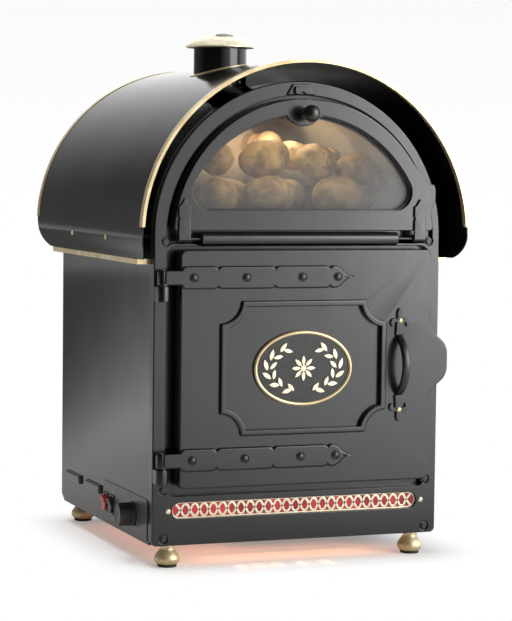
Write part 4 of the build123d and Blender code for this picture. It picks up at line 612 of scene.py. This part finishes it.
for name, slot, width in (
    ("front_casting", "cast_front", 1.2),
    ("oven_door_casting", "cast_front", 1.8),
    ("display_door_frame", "cast_front", 0.9),
    ("oven_door_straps", "cast_front", 2.8),
    ("display_straps", "cast_front", 1.2),
    ("display_catch", "cast_front", 1.0),
    ("hinge_lugs", "cast_front", 1.5),
    ("display_hinge_barrel", "cast_front", 1.0),
    ("left_side_panel", "casing_enamel", 0.4),
    ("right_side_panel", "casing_enamel", 0.4),
    ("rear_panel", "casing_enamel", 0.3),
    ("arched_top_panel", "casing_enamel", 0),
    ("base_plate", "casing_enamel", 0.3),
    ("roof_sheet", "roof_enamel", 0.3),
    ("roof_trims", "brass", 0.3),
    ("side_strips", "brass", 0.4),
    ("roof_spacers", "bright_steel", 0),
    ("oven_door_inner_plate", "liner_steel", 0.3),
    ("oven_hinge_pins", "bright_steel", 0),
    ("hinge_rod", "black_steel", 0),
    ("glass_retainer", "black_steel", 0),
    ("oven_liner", "liner_steel", 0.4),
    ("rack_runners", "bright_steel", 0.3),
    ("wire_racks", "rack_chrome", 0),
    ("ring_element", "black_steel", 0),
    ("fan_baffle", "liner_steel", 0.3),
    ("fan_rotor", "bright_steel", 0),
    ("fan_motor", "motor_body", 0.8),
    ("cable_gland", "black_plastic", 0.8),
    ("oven_door_gasket", "gasket", 0.9),
    ("thermostat_body", "black_plastic", 0.6),
):
    eased(name, slot, width)
for name in ("display_liner", "display_floor"):
    eased(name, "liner_steel", 0).data.materials[0] = FINISHES["liner_dark_below"]

# %% [markdown]
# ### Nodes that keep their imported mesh
# Flat panes and hidden parts already have the right shape. They only take a finish, put straight into the
# node's own material slots.

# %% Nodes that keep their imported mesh
KEPT = {"red_lens": "red_lens", "glow_lamp": "lamp", "display_glass": "window_glass",
        "oven_insulation": "blanket", "display_lamp": "lamp"}
for name, slot in KEPT.items():
    for held in frame["nodes"][name].material_slots:
        held.material = FINISHES[slot]
print(len(KEPT), "nodes refinished")

# %% [markdown]
# ## Shapes from a lathe and from a blank
# Round parts are turned: a half profile is spun about its axis and the seam is merged. Flat parts are cut
# from a blank: an outline is filled, raised, and its front edge bevelled. Both can be laid anywhere.

# %% Shapes from a lathe and from a blank


def laid(x, depth, height, facing=Matrix.Identity(4)):
    """Where a shape goes on the oven, and which way its axis points."""
    return Matrix.Translation(spot(x, depth, height)) @ facing


def add_part(bm, part, place):
    """Lays a finished part in place and adds it to a larger bmesh."""
    bmesh.ops.recalc_face_normals(part, faces=part.faces)
    bmesh.ops.transform(part, matrix=place, verts=part.verts)
    mesh = bpy.data.meshes.new("part")
    part.to_mesh(mesh)
    part.free()
    bm.from_mesh(mesh)
    bpy.data.meshes.remove(mesh)


def add_turned(bm, profile, place, steps=32):
    """A profile of (radius, height) points, in millimetres, spun about its axis."""
    part = bmesh.new()
    points = [part.verts.new((radius * MM, 0, height * MM)) for radius, height in profile]
    line = [part.edges.new(pair) for pair in zip(points, points[1:])]
    bmesh.ops.spin(part, geom=points + line, cent=(0, 0, 0), axis=(0, 0, 1), angle=2 * math.pi, steps=steps,
                   use_merge=True)
    bmesh.ops.remove_doubles(part, verts=part.verts, dist=0.001 * MM)
    add_part(bm, part, place)


def add_blank(bm, outline, thickness, place, edge=0.0):
    """An outline of (across, up) points, in millimetres, filled, raised and bevelled in front."""
    part = bmesh.new()
    back = part.faces.new([part.verts.new((across * MM, up * MM, 0)) for across, up in outline])
    raised = bmesh.ops.extrude_face_region(part, geom=[back], use_keep_orig=True)["geom"]
    top = [item for item in raised if isinstance(item, bmesh.types.BMVert)]
    front = [item for item in raised if isinstance(item, bmesh.types.BMFace)]
    bmesh.ops.translate(part, verts=top, vec=(0, 0, thickness * MM))
    if edge:
        bmesh.ops.bevel(part, geom=list(front[0].edges), offset=edge * MM, offset_type="OFFSET",
                        affect="EDGES", segments=3, profile=0.5, material=-1, clamp_overlap=True)
    add_part(bm, part, place)


def oval(half_width, half_height, steps=40, middle=(0, 0), turn=0):
    """Points round an ellipse, turned by an angle in degrees."""
    spin = Matrix.Rotation(math.radians(turn), 2)
    points = []
    for index in range(steps):
        angle = 2 * math.pi * index / steps
        point = spin @ Vector((half_width * math.cos(angle), half_height * math.sin(angle)))
        points.append((middle[0] + point.x, middle[1] + point.y))
    return points


print("lathe and blank ready")

# %% [markdown]
# ## Feet
# Four turned brass feet carry the oven: a short neck, a bell-shaped shoulder and a round belly on a rubber
# pad. A lathe profile gives the shape, and a subdivision surface makes its curve run smoothly.

# %% Feet
FOOT_PLACES = [(x, depth) for x in (-197.4, 197.4) for depth in (22, 458)]
BELL = [(0, 4.0), (13.2, 4.0), (14.6, 4.1), (17.3, 6.2), (19.2, 9.6), (19.5, 13), (18.2, 17.2), (14.9, 21.6),
        (12.0, 24.6), (11.1, 26.6), (10.9, 28.5), (10.9, 33.4), (10.7, 34), (0, 34)]
PAD = [(0, 0), (12.8, 0), (14.2, 0.3), (14.5, 1.2), (14.5, 3.2), (14.2, 3.9), (12.8, 4.0), (0, 4.0)]
bells = bmesh.new()
pads = bmesh.new()
for x, depth in FOOT_PLACES:
    add_turned(bells, BELL, laid(x, depth, 0), 32)
    add_turned(pads, PAD, laid(x, depth, 0), 32)
piece(bells, "turned_brass_feet", "satin_brass", stands_for=("brass_feet",), levels=2, smooth=80)
piece(pads, "rubber_foot_pads", "rubber", stands_for=("foot_pads",), levels=1, smooth=80)

# %% [markdown]
# ## Flue and cap
# The flue is sheet rolled to a pipe and closed with a folded seam, with a rivet at its foot. The pipe is
# turned in one profile, inside and out, and the seam is a thin blank stood along it.

# %% Flue
FLUE = (-50, 220)
PIPE = [(40.2, 660), (41.4, 660), (41.4, 700), (41.4, 770), (41.4, 774.2), (41.1, 775), (40.5, 775),
        (40.2, 774.2), (40.2, 700), (40.2, 660)]
pipe = bmesh.new()
add_turned(pipe, PIPE, laid(*FLUE, 0), 96)
SEAM_TURN = math.radians(-62)
seam = [(-3.4, 0.2), (3.4, 0.2), (2.6, 1.2), (-2.4, 1.2)]
upright = Matrix.Rotation(SEAM_TURN, 4, "Z") @ Matrix.Translation((41.2 * MM, 0, 0))
sideways = Matrix(((0, 1, 0, 0), (1, 0, 0, 0), (0, 0, 1, 0), (0, 0, 0, 1)))
add_blank(pipe, seam, 57, laid(*FLUE, 716) @ upright @ sideways, 0.3)
piece(pipe, "rolled_flue_pipe", "roof_enamel", stands_for=("flue_pipe",), smooth=35)
RIVET = [(3.2, 0), (3.0, 0.9), (2.0, 1.7), (0, 2.0)]
outward = Matrix.Rotation(math.radians(90), 4, "Y")
rivet = bmesh.new()
add_turned(rivet, RIVET, laid(*FLUE, 722) @ upright @ outward, 20)
piece(rivet, "flue_rivet", "satin_brass")

# %% [markdown]
# ### Flue bead
# A thin brass bead runs where the pipe meets the roof. A small circle is spun to a ring, and each point is
# then lifted by the roof's own arc, which follows the curve more closely than a bent tube would.

# %% Flue bead
ROOF_AXIS = 490
ROOF_RADIUS = 259.2
bead = bmesh.new()
bmesh.ops.create_circle(bead, segments=8, radius=1.3 * MM)
bmesh.ops.rotate(bead, verts=bead.verts, cent=(0, 0, 0), matrix=Matrix.Rotation(math.radians(90), 3, "X"))
bmesh.ops.translate(bead, verts=bead.verts, vec=(42.2 * MM, 0, 0))
bmesh.ops.spin(bead, geom=bead.verts[:] + bead.edges[:], cent=(0, 0, 0), axis=(0, 0, 1), angle=2 * math.pi,
               steps=72, use_merge=True)
bmesh.ops.remove_doubles(bead, verts=bead.verts, dist=0.001 * MM)
bmesh.ops.recalc_face_normals(bead, faces=bead.faces)
for vert in bead.verts:
    across = vert.co.x / MM + FLUE[0]
    vert.co.z += (ROOF_AXIS + math.sqrt(ROOF_RADIUS ** 2 - across ** 2) + 0.4) * MM
bmesh.ops.transform(bead, matrix=laid(*FLUE, 0), verts=bead.verts)
piece(bead, "flue_bead", "brass")

# %% [markdown]
# ### Flue cap
# The cap is spun brass, a shallow dome on three tongues, with a small bare plate on its front. The plate is
# cut flat like any blank and then dropped on to the dome, point by point.

# %% Flue cap
CAP_TOP = 797
CAP_RADIUS = 54.5
CAP_RISE = 19.5
DOME = [(0, 795.5), (14, 794.4), (28, 791.2), (40, 786.4), (50, 780.2), (52.6, 777.9), (53, 776.4),
        (53.2, 775.6), (54.1, 775.5), (CAP_RADIUS, 776.2), (54.4, 777.4), (53.6, 778.8), (48, 783.9),
        (38, 789.2), (26, 793.4), (13, 796.1), (0, CAP_TOP)]
cap = bmesh.new()
add_turned(cap, DOME, laid(*FLUE, 0), 48)
for turn in (30, 150, 270):
    tongue = Matrix.Rotation(math.radians(turn), 4, "Z") @ Matrix.Translation((38.2 * MM, 0, 0))
    add_blank(cap, [(0, -5), (1.8, -5), (1.8, 5), (0, 5)], 31.5, laid(*FLUE, 755) @ tongue)
piece(cap, "spun_flue_cap", "badge_relief", stands_for=("flue_cap",), levels=1, smooth=60)
DOME_RADIUS = (CAP_RADIUS ** 2 + CAP_RISE ** 2) / (2 * CAP_RISE)


def on_dome(bm, lift):
    """Drops a flat shape on to the dome of the flue cap."""
    for vert in bm.verts:
        flat = math.hypot(vert.co.x, vert.co.y) / MM
        vert.co.z += (CAP_TOP - DOME_RADIUS + math.sqrt(DOME_RADIUS ** 2 - flat ** 2) + lift) * MM
    bmesh.ops.transform(bm, matrix=laid(*FLUE, 0), verts=bm.verts)


PLATE_MIDDLE = (0, -19)
for name, slot, sizes, rise, stands_for in (
    ("flue_plate_rim", "brass", (17, 12), 1.0, ("flue_cap_plate",)),
    ("flue_plate_field", "badge_ground", (14.2, 9.6), 1.25, ()),
):
    oval_plate = bmesh.new()
    add_blank(oval_plate, oval(*sizes, 32, PLATE_MIDDLE), rise, Matrix.Identity(4), 0.3)
    on_dome(oval_plate, -0.2)
    piece(oval_plate, name, slot, stands_for=stands_for)

# %% [markdown]
# ## Window knob
# The display door is lifted by a black ball screwed through a small collar. It is one turned profile laid
# on its side, and the subdivision surface takes the facets out of the ball.

# %% Window knob
BALL = [(0, 13.2), (4.8, 12.4), (9.1, 9.6), (12.1, 5.2), (13.1, 0), (12.1, -5.2), (9.4, -9.1), (6.4, -11.4),
        (5.2, -13), (5.0, -18.5), (5.4, -20.4), (8.0, -20.9), (9.0, -21.8), (9.1, -23.6), (9.1, -24),
        (0, -24)]
knob = bmesh.new()
add_turned(knob, BALL, laid(0, -38, 671, FACING_FRONT), 32)
piece(knob, "window_ball_knob", "black_plastic", body_of(frame["nodes"]["display_door_knob"])[0],
      ("display_door_knob",), levels=2, smooth=80)

# %% [markdown]
# ## Bolts
# Six hexagon bolts hold the casting to the casing, sunk in round counterbores. Each is a six-sided blank
# with a bevelled front, on a turned washer and a turned shank.

# %% Bolts
HEXAGON = oval(4.62, 4.62, 6, turn=12)
bolts = bmesh.new()
for x in (-211, 211):
    for z in (44.5, 117, 481.7):
        add_blank(bolts, HEXAGON, 4.0, laid(x, 3, z, FACING_FRONT), 0.5)
        add_turned(bolts, [(6.4, 0), (6.4, 0.5), (6.0, 0.8), (0, 0.8)], laid(x, 3, z, FACING_FRONT), 24)
        add_turned(bolts, [(0, 0), (3, 0), (3, 23), (0, 23)], laid(x, 26, z, FACING_FRONT), 16)
piece(bolts, "casting_hex_bolts", "black_steel", stands_for=("casting_bolts",))

# %% [markdown]
# ## Screws
# The straps have domed coach-bolt heads with a ring round them, and the handle, grille and roof have small
# brass screws. They are all turned, so one function gives the profile of every plain dome.

# %% Screws


def domed(radius, rise, socket=0.0):
    """A domed head's profile, with a dimple in its crown where one is asked for."""
    profile = [(radius, 0), (radius, rise * 0.25), (radius * 0.93, rise * 0.5), (radius * 0.78, rise * 0.76),
               (radius * 0.55, rise * 0.93)]
    if socket:
        return profile + [(radius * 0.42, rise), (radius * 0.3, rise - socket), (0, rise - socket)]
    return profile + [(radius * 0.28, rise), (0, rise * 1.02)]


STRAP_FACE = -23
STRAP_HEIGHTS = (162.5, 430)
STRAP_SCREWS = (-175, -93, -4.5, 52)
HANDLE_ACROSS = 155
HANDLE_PLATES = (228, 363)
RINGED_HEAD = [(7.2, 0), (7.2, 0.9), (6.8, 1.3), (6.2, 1.3), (5.8, 0.9), (5.8, 0.3), (5.3, 0.3), (5.1, 1.4),
               (4.4, 2.3), (3.0, 2.9), (1.4, 3.1), (0, 3.1)]
heads = bmesh.new()
for z in STRAP_HEIGHTS:
    for x in STRAP_SCREWS:
        add_turned(heads, RINGED_HEAD, laid(x, STRAP_FACE, z, FACING_FRONT), 32)
door = body_of(frame["nodes"]["oven_door_casting"])[0]
piece(heads, "strap_bolt_heads", "black_steel", door, ("strap_screws",))
heads = bmesh.new()
for z in HANDLE_PLATES:
    add_turned(heads, domed(4.0, 2.6, 0.7), laid(HANDLE_ACROSS, STRAP_FACE, z, FACING_FRONT), 24)
piece(heads, "handle_brass_screws", "brass", door, ("handle_screws",))
GRILLE_HEIGHT = 85.3
heads = bmesh.new()
for x in (-204, 204):
    add_turned(heads, domed(3.9, 2.2, 0.6), laid(x, 0, GRILLE_HEIGHT, FACING_FRONT), 24)
piece(heads, "grille_brass_screws", "badge_relief", stands_for=("grille_screws",))
ROOF_SCREW_HEIGHT = 484
SHANK = [(0, 0), (2, 0), (2, 24), (0, 24)]
heads = bmesh.new()
for side in (-1, 1):
    facing = Matrix.Rotation(math.radians(side * 90), 4, "Y")
    for depth in (139, 317):
        add_turned(heads, domed(4.0, 2.0, 0.5), laid(side * 259.4, depth, ROOF_SCREW_HEIGHT, facing), 24)
        add_turned(heads, SHANK, laid(side * 235, depth, ROOF_SCREW_HEIGHT, facing), 12)
piece(heads, "roof_side_screws", "satin_brass", stands_for=("roof_screws",))

# %% [markdown]
# ## Pull handle
# The handle is one bowed bar between two leaf-shaped plates. A rounded square is spun part way round the
# bow's centre for the bar, and the plates are drawn as blanks: a leaf, two lobes and a tail.

# %% Pull handle
REACH = 52
HALF_SPAN = 46
RISE = REACH - 22
BOW_RADIUS = (HALF_SPAN ** 2 + RISE ** 2) / (2 * RISE)
BOW_SWEEP = 2 * math.asin(HALF_SPAN / BOW_RADIUS)
BAR_HALF_WIDTH = 6.0
BAR_HALF_DEPTH = 4.5
BAR_MIDDLE = BOW_RADIUS - BAR_HALF_DEPTH
SQUARENESS = 0.7
OVERRUN = 1.04
handle = bmesh.new()
bmesh.ops.create_circle(handle, segments=16, radius=1, cap_ends=True)
for vert in handle.verts:
    vert.co.x = math.copysign(abs(vert.co.x) ** SQUARENESS, vert.co.x) * BAR_HALF_WIDTH * MM
    vert.co.y = math.copysign(abs(vert.co.y) ** SQUARENESS, vert.co.y) * BAR_HALF_DEPTH * MM
bow_centre = Vector((0, 0, 0))
first_turn = Matrix.Rotation(-BOW_SWEEP / 2 * OVERRUN, 3, "X")
bmesh.ops.translate(handle, verts=handle.verts, vec=(0, -BAR_MIDDLE * MM, 0))
bmesh.ops.rotate(handle, verts=handle.verts, cent=bow_centre, matrix=first_turn)
bmesh.ops.spin(handle, geom=handle.verts[:] + handle.edges[:] + handle.faces[:], cent=bow_centre,
               axis=(1, 0, 0), angle=BOW_SWEEP * OVERRUN, steps=28, use_merge=False)
bmesh.ops.recalc_face_normals(handle, faces=handle.faces)
LOBE = [(3, 1), (8, 3.4), (12.5, 2.6), (15.2, -1.2), (15.0, -6), (12.6, -9.6), (10.4, -9.4), (11.0, -6),
        (9.6, -3.4), (5.5, -3)]
TAIL = [(-5.4, -2), (5.4, -2), (6.0, -12), (7.0, -22), (-7.0, -22), (-6.0, -12)]
handle_middle = sum(HANDLE_PLATES) / 2
bmesh.ops.transform(handle, matrix=laid(HANDLE_ACROSS, BOW_RADIUS - REACH, handle_middle), verts=handle.verts)
for z, way in zip(HANDLE_PLATES, (-1, 1)):
    place = laid(HANDLE_ACROSS, -18.8, z, FACING_FRONT)
    add_blank(handle, oval(4.6, 9.5, 24, (0, way * 9)), 4.2, place, 1.4)
    add_blank(handle, oval(6.5, 6.5, 24), 4.0, place, 1.2)
    add_blank(handle, oval(6.0, 3.0, 24, (0, -way * 4)), 4.4, place, 1.0)
    for side in (-1, 1):
        lobe = [(side * across, way * up) for across, up in LOBE]
        add_blank(handle, lobe if side * way < 0 else lobe[::-1], 4.0, place, 0.9)
    tail = [(across, way * up) for across, up in TAIL]
    add_blank(handle, tail if way < 0 else tail[::-1], 4.6, place, 1.0)
piece(handle, "bowed_pull_handle", "black_steel", door, ("pull_handle",), smooth=50)

# %% [markdown]
# ## Badge
# An oval badge is set in the door's panel. Its rim is a half-round band: it is spun as a small ring, with
# its width shrunk to match, and then each point is moved out to the oval.

# %% Badge
BADGE = (0, 293.8)
RIM_HALF_WIDTH = 76
RIM_HALF_HEIGHT = 53.5
RIM_BAND = [(-2.7, 0), (-2.5, 1.4), (-1.5, 2.5), (0, 3.0), (1.5, 2.5), (2.5, 1.4), (2.7, 0)]
SHRUNK = 68
rim = bmesh.new()
band = [rim.verts.new(((1 + across / SHRUNK) * MM, 0, height * MM)) for across, height in RIM_BAND]
line = [rim.edges.new(pair) for pair in zip(band, band[1:] + band[:1])]
bmesh.ops.spin(rim, geom=band + line, cent=(0, 0, 0), axis=(0, 0, 1), angle=2 * math.pi, steps=96,
               use_merge=True)
bmesh.ops.remove_doubles(rim, verts=rim.verts, dist=0.0001 * MM)
bmesh.ops.recalc_face_normals(rim, faces=rim.faces)
for vert in rim.verts:
    out = vert.co.to_2d().length / MM
    width = (out - 1) * SHRUNK
    turn = math.atan2(vert.co.y, vert.co.x)
    vert.co.x = (RIM_HALF_WIDTH + width) * math.cos(turn) * MM
    vert.co.y = (RIM_HALF_HEIGHT + width) * math.sin(turn) * MM
bmesh.ops.transform(rim, matrix=laid(BADGE[0], -18, BADGE[1], FACING_FRONT), verts=rim.verts)
piece(rim, "badge_half_round_rim", "brass", door, ("badge_rim",), smooth=60)
ground = bmesh.new()
add_blank(ground, oval(74, 51.5, 72), 2.5, laid(BADGE[0], -15, BADGE[1], FACING_FRONT))
piece(ground, "badge_painted_ground", "badge_ground", door, ("badge_field",))

# %% [markdown]
# ### Badge relief
# The relief is a plain rosette between two sprays of leaves, rubbed bright. Nothing on it is a word or a
# mark. One leaf is laid again and again, turned and scaled, as a die cutter repeats one punch.

# %% Badge relief
LEAF = [(0, -9), (2.6, -5.5), (3.7, -1), (3.2, 3.5), (1.6, 7), (0, 9.5)]
LEAF = LEAF + [(-x, y) for x, y in reversed(LEAF) if x]
relief_bm = bmesh.new()


def add_relief(outline, middle, turn, scale=1.0):
    """One raised shape on the badge's ground."""
    spin = Matrix.Rotation(math.radians(turn), 4, "Z") @ Matrix.Scale(scale, 4)
    place = laid(middle[0], -17.4, BADGE[1] + middle[1], FACING_FRONT)
    add_blank(relief_bm, outline, 2.4 / scale, place @ spin, 0.8)


for index in range(8):
    turn = 45 * index
    reach = Vector((0, 11.5))
    reach.rotate(Matrix.Rotation(math.radians(turn), 2))
    add_relief(LEAF, reach, turn, 0.82)
add_relief(oval(4.6, 4.6, 20), (0, 0), 0)
SPRAY = (58, 36.5)
for side in (-1, 1):
    for index in range(6):
        angle = math.radians(24 + 25 * index)
        middle = (side * SPRAY[0] * math.sin(angle), -SPRAY[1] * math.cos(angle))
        lean = side * (math.degrees(math.atan2(SPRAY[1] * math.sin(angle), SPRAY[0] * math.cos(angle))) - 90)
        add_relief(LEAF, (middle[0] + side * 2.6, middle[1]), lean - side * 32, 0.95)
        add_relief(LEAF, (middle[0] * 0.84, middle[1] * 0.84), lean + side * 32, 0.85)
piece(relief_bm, "badge_leaf_relief", "badge_relief", door, ("badge_ornament",), smooth=50)

# %% [markdown]
# ## Potatoes
# Twelve potatoes are stacked in the display. Each is a ball of even triangles, stretched to its length,
# pushed in and out by noise, and given shallow eyes. A fixed seed per potato keeps them the same.

# %% Potatoes
POTATOES = [(-105, 68, 548.5, 29, 28, 10, 0), (-26, 66, 549.5, 45, 29, 4, 0), (88, 66, 549.5, 41, 29, -6, 0),
            (28, 132, 547.5, 34, 27, 20, 0), (152, 136, 544.5, 27, 24, -20, 0),
            (-72, 130, 547.5, 36, 27, -15, 0),
            (-99, 95, 603, 29, 27, 60, 20), (-21, 98, 604.5, 41, 31.5, 8, -6), (44, 147, 609, 29, 24, -15, 8),
            (63, 95, 601, 33, 28, 6, 12), (131, 104, 588, 33, 27, -8, -8), (103, 149, 602, 25, 22, 20, 5)]
heap = bmesh.new()
for seed, (x, depth, z, long, thick, turn, tilt) in enumerate(POTATOES):
    tuber = bmesh.new()
    bmesh.ops.create_icosphere(tuber, subdivisions=4, radius=1)
    drift = Vector((seed * 7.3, seed * 3.1, seed * 5.7))
    for vert in tuber.verts:
        way = vert.co.normalized()
        lump = 0.10 * noise.noise(way * 1.1 + drift) + 0.045 * noise.noise(way * 2.6 + drift)
        wrinkle = 0.008 * noise.noise(way * 9 + drift)
        pit = max(0.0, noise.noise(way * 3.4 - drift) - 0.42)
        vert.co = way * (1 + lump + wrinkle - 0.25 * pit)
    pose = Matrix.Rotation(math.radians(turn), 4, "Z") @ Matrix.Rotation(math.radians(tilt), 4, "Y")
    size = Matrix.Diagonal((long * MM, thick * MM * 0.98, thick * MM * 0.98, 1))
    add_part(heap, tuber, laid(x, depth, z) @ pose @ size)
piece(heap, "baked_potatoes", "potato", stands_for=("display_potatoes",), smooth=180)

# %% [markdown]
# ## Fretted grille
# The slot along the foot is filled by a brass fret: two waves cross each other between two rails. Each wave
# is a curve with a flat bar's section, because a curve keeps a bar the same width along every bend.

# %% Fretted grille
WAVE_PITCH = 14.6
WAVE_COUNT = 26
WAVE_RISE = 8.9
HALF_SLOT = 185
RAIL_RISE = 11.2
RAIL_POINTS = (-120, -60, 0, 60, 120)


def bar_along(points, half_width, half_depth, closed=False):
    """A flat bar that follows smooth points over X and Z; it comes back as a mesh."""
    line = bpy.data.curves.new("bar", "CURVE")
    line.dimensions = "3D"
    line.resolution_u = 6
    line.bevel_mode = "OBJECT"
    section = bpy.data.curves.new("bar section", "CURVE")
    section.dimensions = "2D"
    outline = section.splines.new("POLY")
    corner = 0.35
    quarter = [(half_width - corner, half_depth), (half_width, half_depth - corner)]
    half = [(across, -deep) for across, deep in quarter] + quarter[::-1]
    box = half + [(-across, -deep) for across, deep in half]
    outline.points.add(len(box) - 1)
    for point, (across, deep) in zip(outline.points, box):
        point.co = (across * MM, deep * MM, 0, 1)
    outline.use_cyclic_u = True
    profile = bpy.data.objects.new("bar section", section)
    line.bevel_object = profile
    line.use_fill_caps = True
    spline = line.splines.new("BEZIER")
    spline.bezier_points.add(len(points) - 1)
    for point, (x, z) in zip(spline.bezier_points, points):
        point.co = (x * MM, z * MM, 0)
        point.handle_left_type = point.handle_right_type = "AUTO"
    spline.use_cyclic_u = closed
    carrier = bpy.data.objects.new("bar", line)
    bpy.context.scene.collection.objects.link(carrier)
    mesh = bpy.data.meshes.new_from_object(carrier.evaluated_get(bpy.context.evaluated_depsgraph_get()))
    for extra in (carrier, profile):
        data = extra.data
        bpy.data.objects.remove(extra)
        bpy.data.curves.remove(data)
    return mesh


fret = bmesh.new()
for way in (-1, 1):
    wave = []
    for index in range(2 * WAVE_COUNT + 1):
        x = (index - WAVE_COUNT) / 2 * WAVE_PITCH
        wave.append((x, way * WAVE_RISE * (1, 0, -1, 0)[index % 4]))
    mesh = bar_along(wave, 1.75, 1.0)
    fret.from_mesh(mesh)
    bpy.data.meshes.remove(mesh)
right_end = []
for index in range(9):
    turn = math.radians(90 - 22.5 * index)
    right_end.append((HALF_SLOT + RAIL_RISE * math.cos(turn), RAIL_RISE * math.sin(turn)))
loop = right_end + [(-x, -RAIL_RISE) for x in RAIL_POINTS]
loop += [(-x, -z) for x, z in right_end] + [(x, RAIL_RISE) for x in RAIL_POINTS]
mesh = bar_along(loop, 1.2, 1.2, closed=True)
fret.from_mesh(mesh)
bpy.data.meshes.remove(mesh)
bmesh.ops.recalc_face_normals(fret, faces=fret.faces)
bmesh.ops.transform(fret, matrix=laid(0, 6.2, GRILLE_HEIGHT, FACING_FRONT), verts=fret.verts)
piece(fret, "brass_fret", "badge_relief", stands_for=("fret_grille",), smooth=50)

# %% [markdown]
# ## Thermostat knob
# On the left side are two rocker switches, one of them lit red, and a fluted thermostat knob, all on a small
# plate with a dial scale. The knob is turned first, with a dished face, and its flutes are ribs set round it.

# %% Thermostat knob
dial_body = body_of(frame["nodes"]["thermostat_knob"])[0]
PLATE_FACE = -229.7
DIAL_DEPTH = 87
DIAL_HEIGHT = 70
GRIP = [(0, 23.6), (9, 23.8), (12.4, 24.5), (14.2, 25), (15.6, 24.7), (16.5, 23.6), (16.8, 21), (17.3, 5),
        (17.6, 4.2), (18.2, 3.9), (18.5, 3.2), (18.5, 0.6), (18.1, 0.3), (0, 0.3)]
dial = bmesh.new()
place = laid(PLATE_FACE, DIAL_DEPTH, DIAL_HEIGHT, FACING_LEFT)
add_turned(dial, GRIP, place, 48)
for index in range(24):
    rib = Matrix.Rotation(math.radians(15 * index), 4, "Z") @ Matrix.Translation((16.7 * MM, 0, 4 * MM))
    add_blank(dial, oval(0.8, 0.8, 8), 18.6, place @ rib, 0.4)
on_face = place @ Matrix.Translation((0, 0, 23.6 * MM))
add_blank(dial, [(-1.0, 4), (1.0, 4), (1.0, 12.5), (-1.0, 12.5)], 1.0, on_face, 0.2)
add_turned(dial, [(0, 0), (3, 0), (3, 27), (0, 27)], laid(-202, DIAL_DEPTH, DIAL_HEIGHT, FACING_LEFT), 16)
piece(dial, "fluted_thermostat_knob", "black_plastic", dial_body, ("thermostat_knob",), smooth=40)

# %% [markdown]
# ## Switches
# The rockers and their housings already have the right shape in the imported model, so they are only eased.
# One rocker is moulded in red and glows faintly, the other is black.

# %% Switches
for name, slot in (("oven_rocker", "red_rocker"), ("lamp_rocker", "black_plastic")):
    eased(name, slot, 0.7)
eased("switch_housings", "black_plastic", 0.5)

# %% [markdown]
# ## Control plate
# The plate is thin lacquered metal. Its scale is eleven plain ticks, and each switch has a stroke above it
# and a ring below. A texture could draw them, but thin raised blanks stay crisp close up.

# %% Control plate
eased("control_plate", "control_plate", 0.3)
marks = bmesh.new()
MARK_RISE = 0.12
TICK = [(-1.6, -0.35), (1.6, -0.35), (1.6, 0.35), (-1.6, 0.35)]
RING = [(1.7, 0), (1.7, MARK_RISE), (2.3, MARK_RISE), (2.3, 0)]
face = laid(PLATE_FACE, 0, 0, FACING_LEFT)
scale_middle = Matrix.Translation((DIAL_HEIGHT * MM, DIAL_DEPTH * MM, 0))
outwards = Matrix.Translation((22.5 * MM, 0, 0))
for index in range(11):
    turn = Matrix.Rotation(math.radians(-60 + 30 * index), 4, "Z")
    add_blank(marks, TICK, MARK_RISE, face @ scale_middle @ turn @ outwards)
for depth in (192, 224):
    stroke = [(88, depth - 0.5), (92.5, depth - 0.5), (92.5, depth + 0.5), (88, depth + 0.5)]
    add_blank(marks, stroke, MARK_RISE, face)
    add_turned(marks, RING, face @ Matrix.Translation((46 * MM, depth * MM, 0)), 20)
piece(marks, "control_plate_marks", "badge_relief")
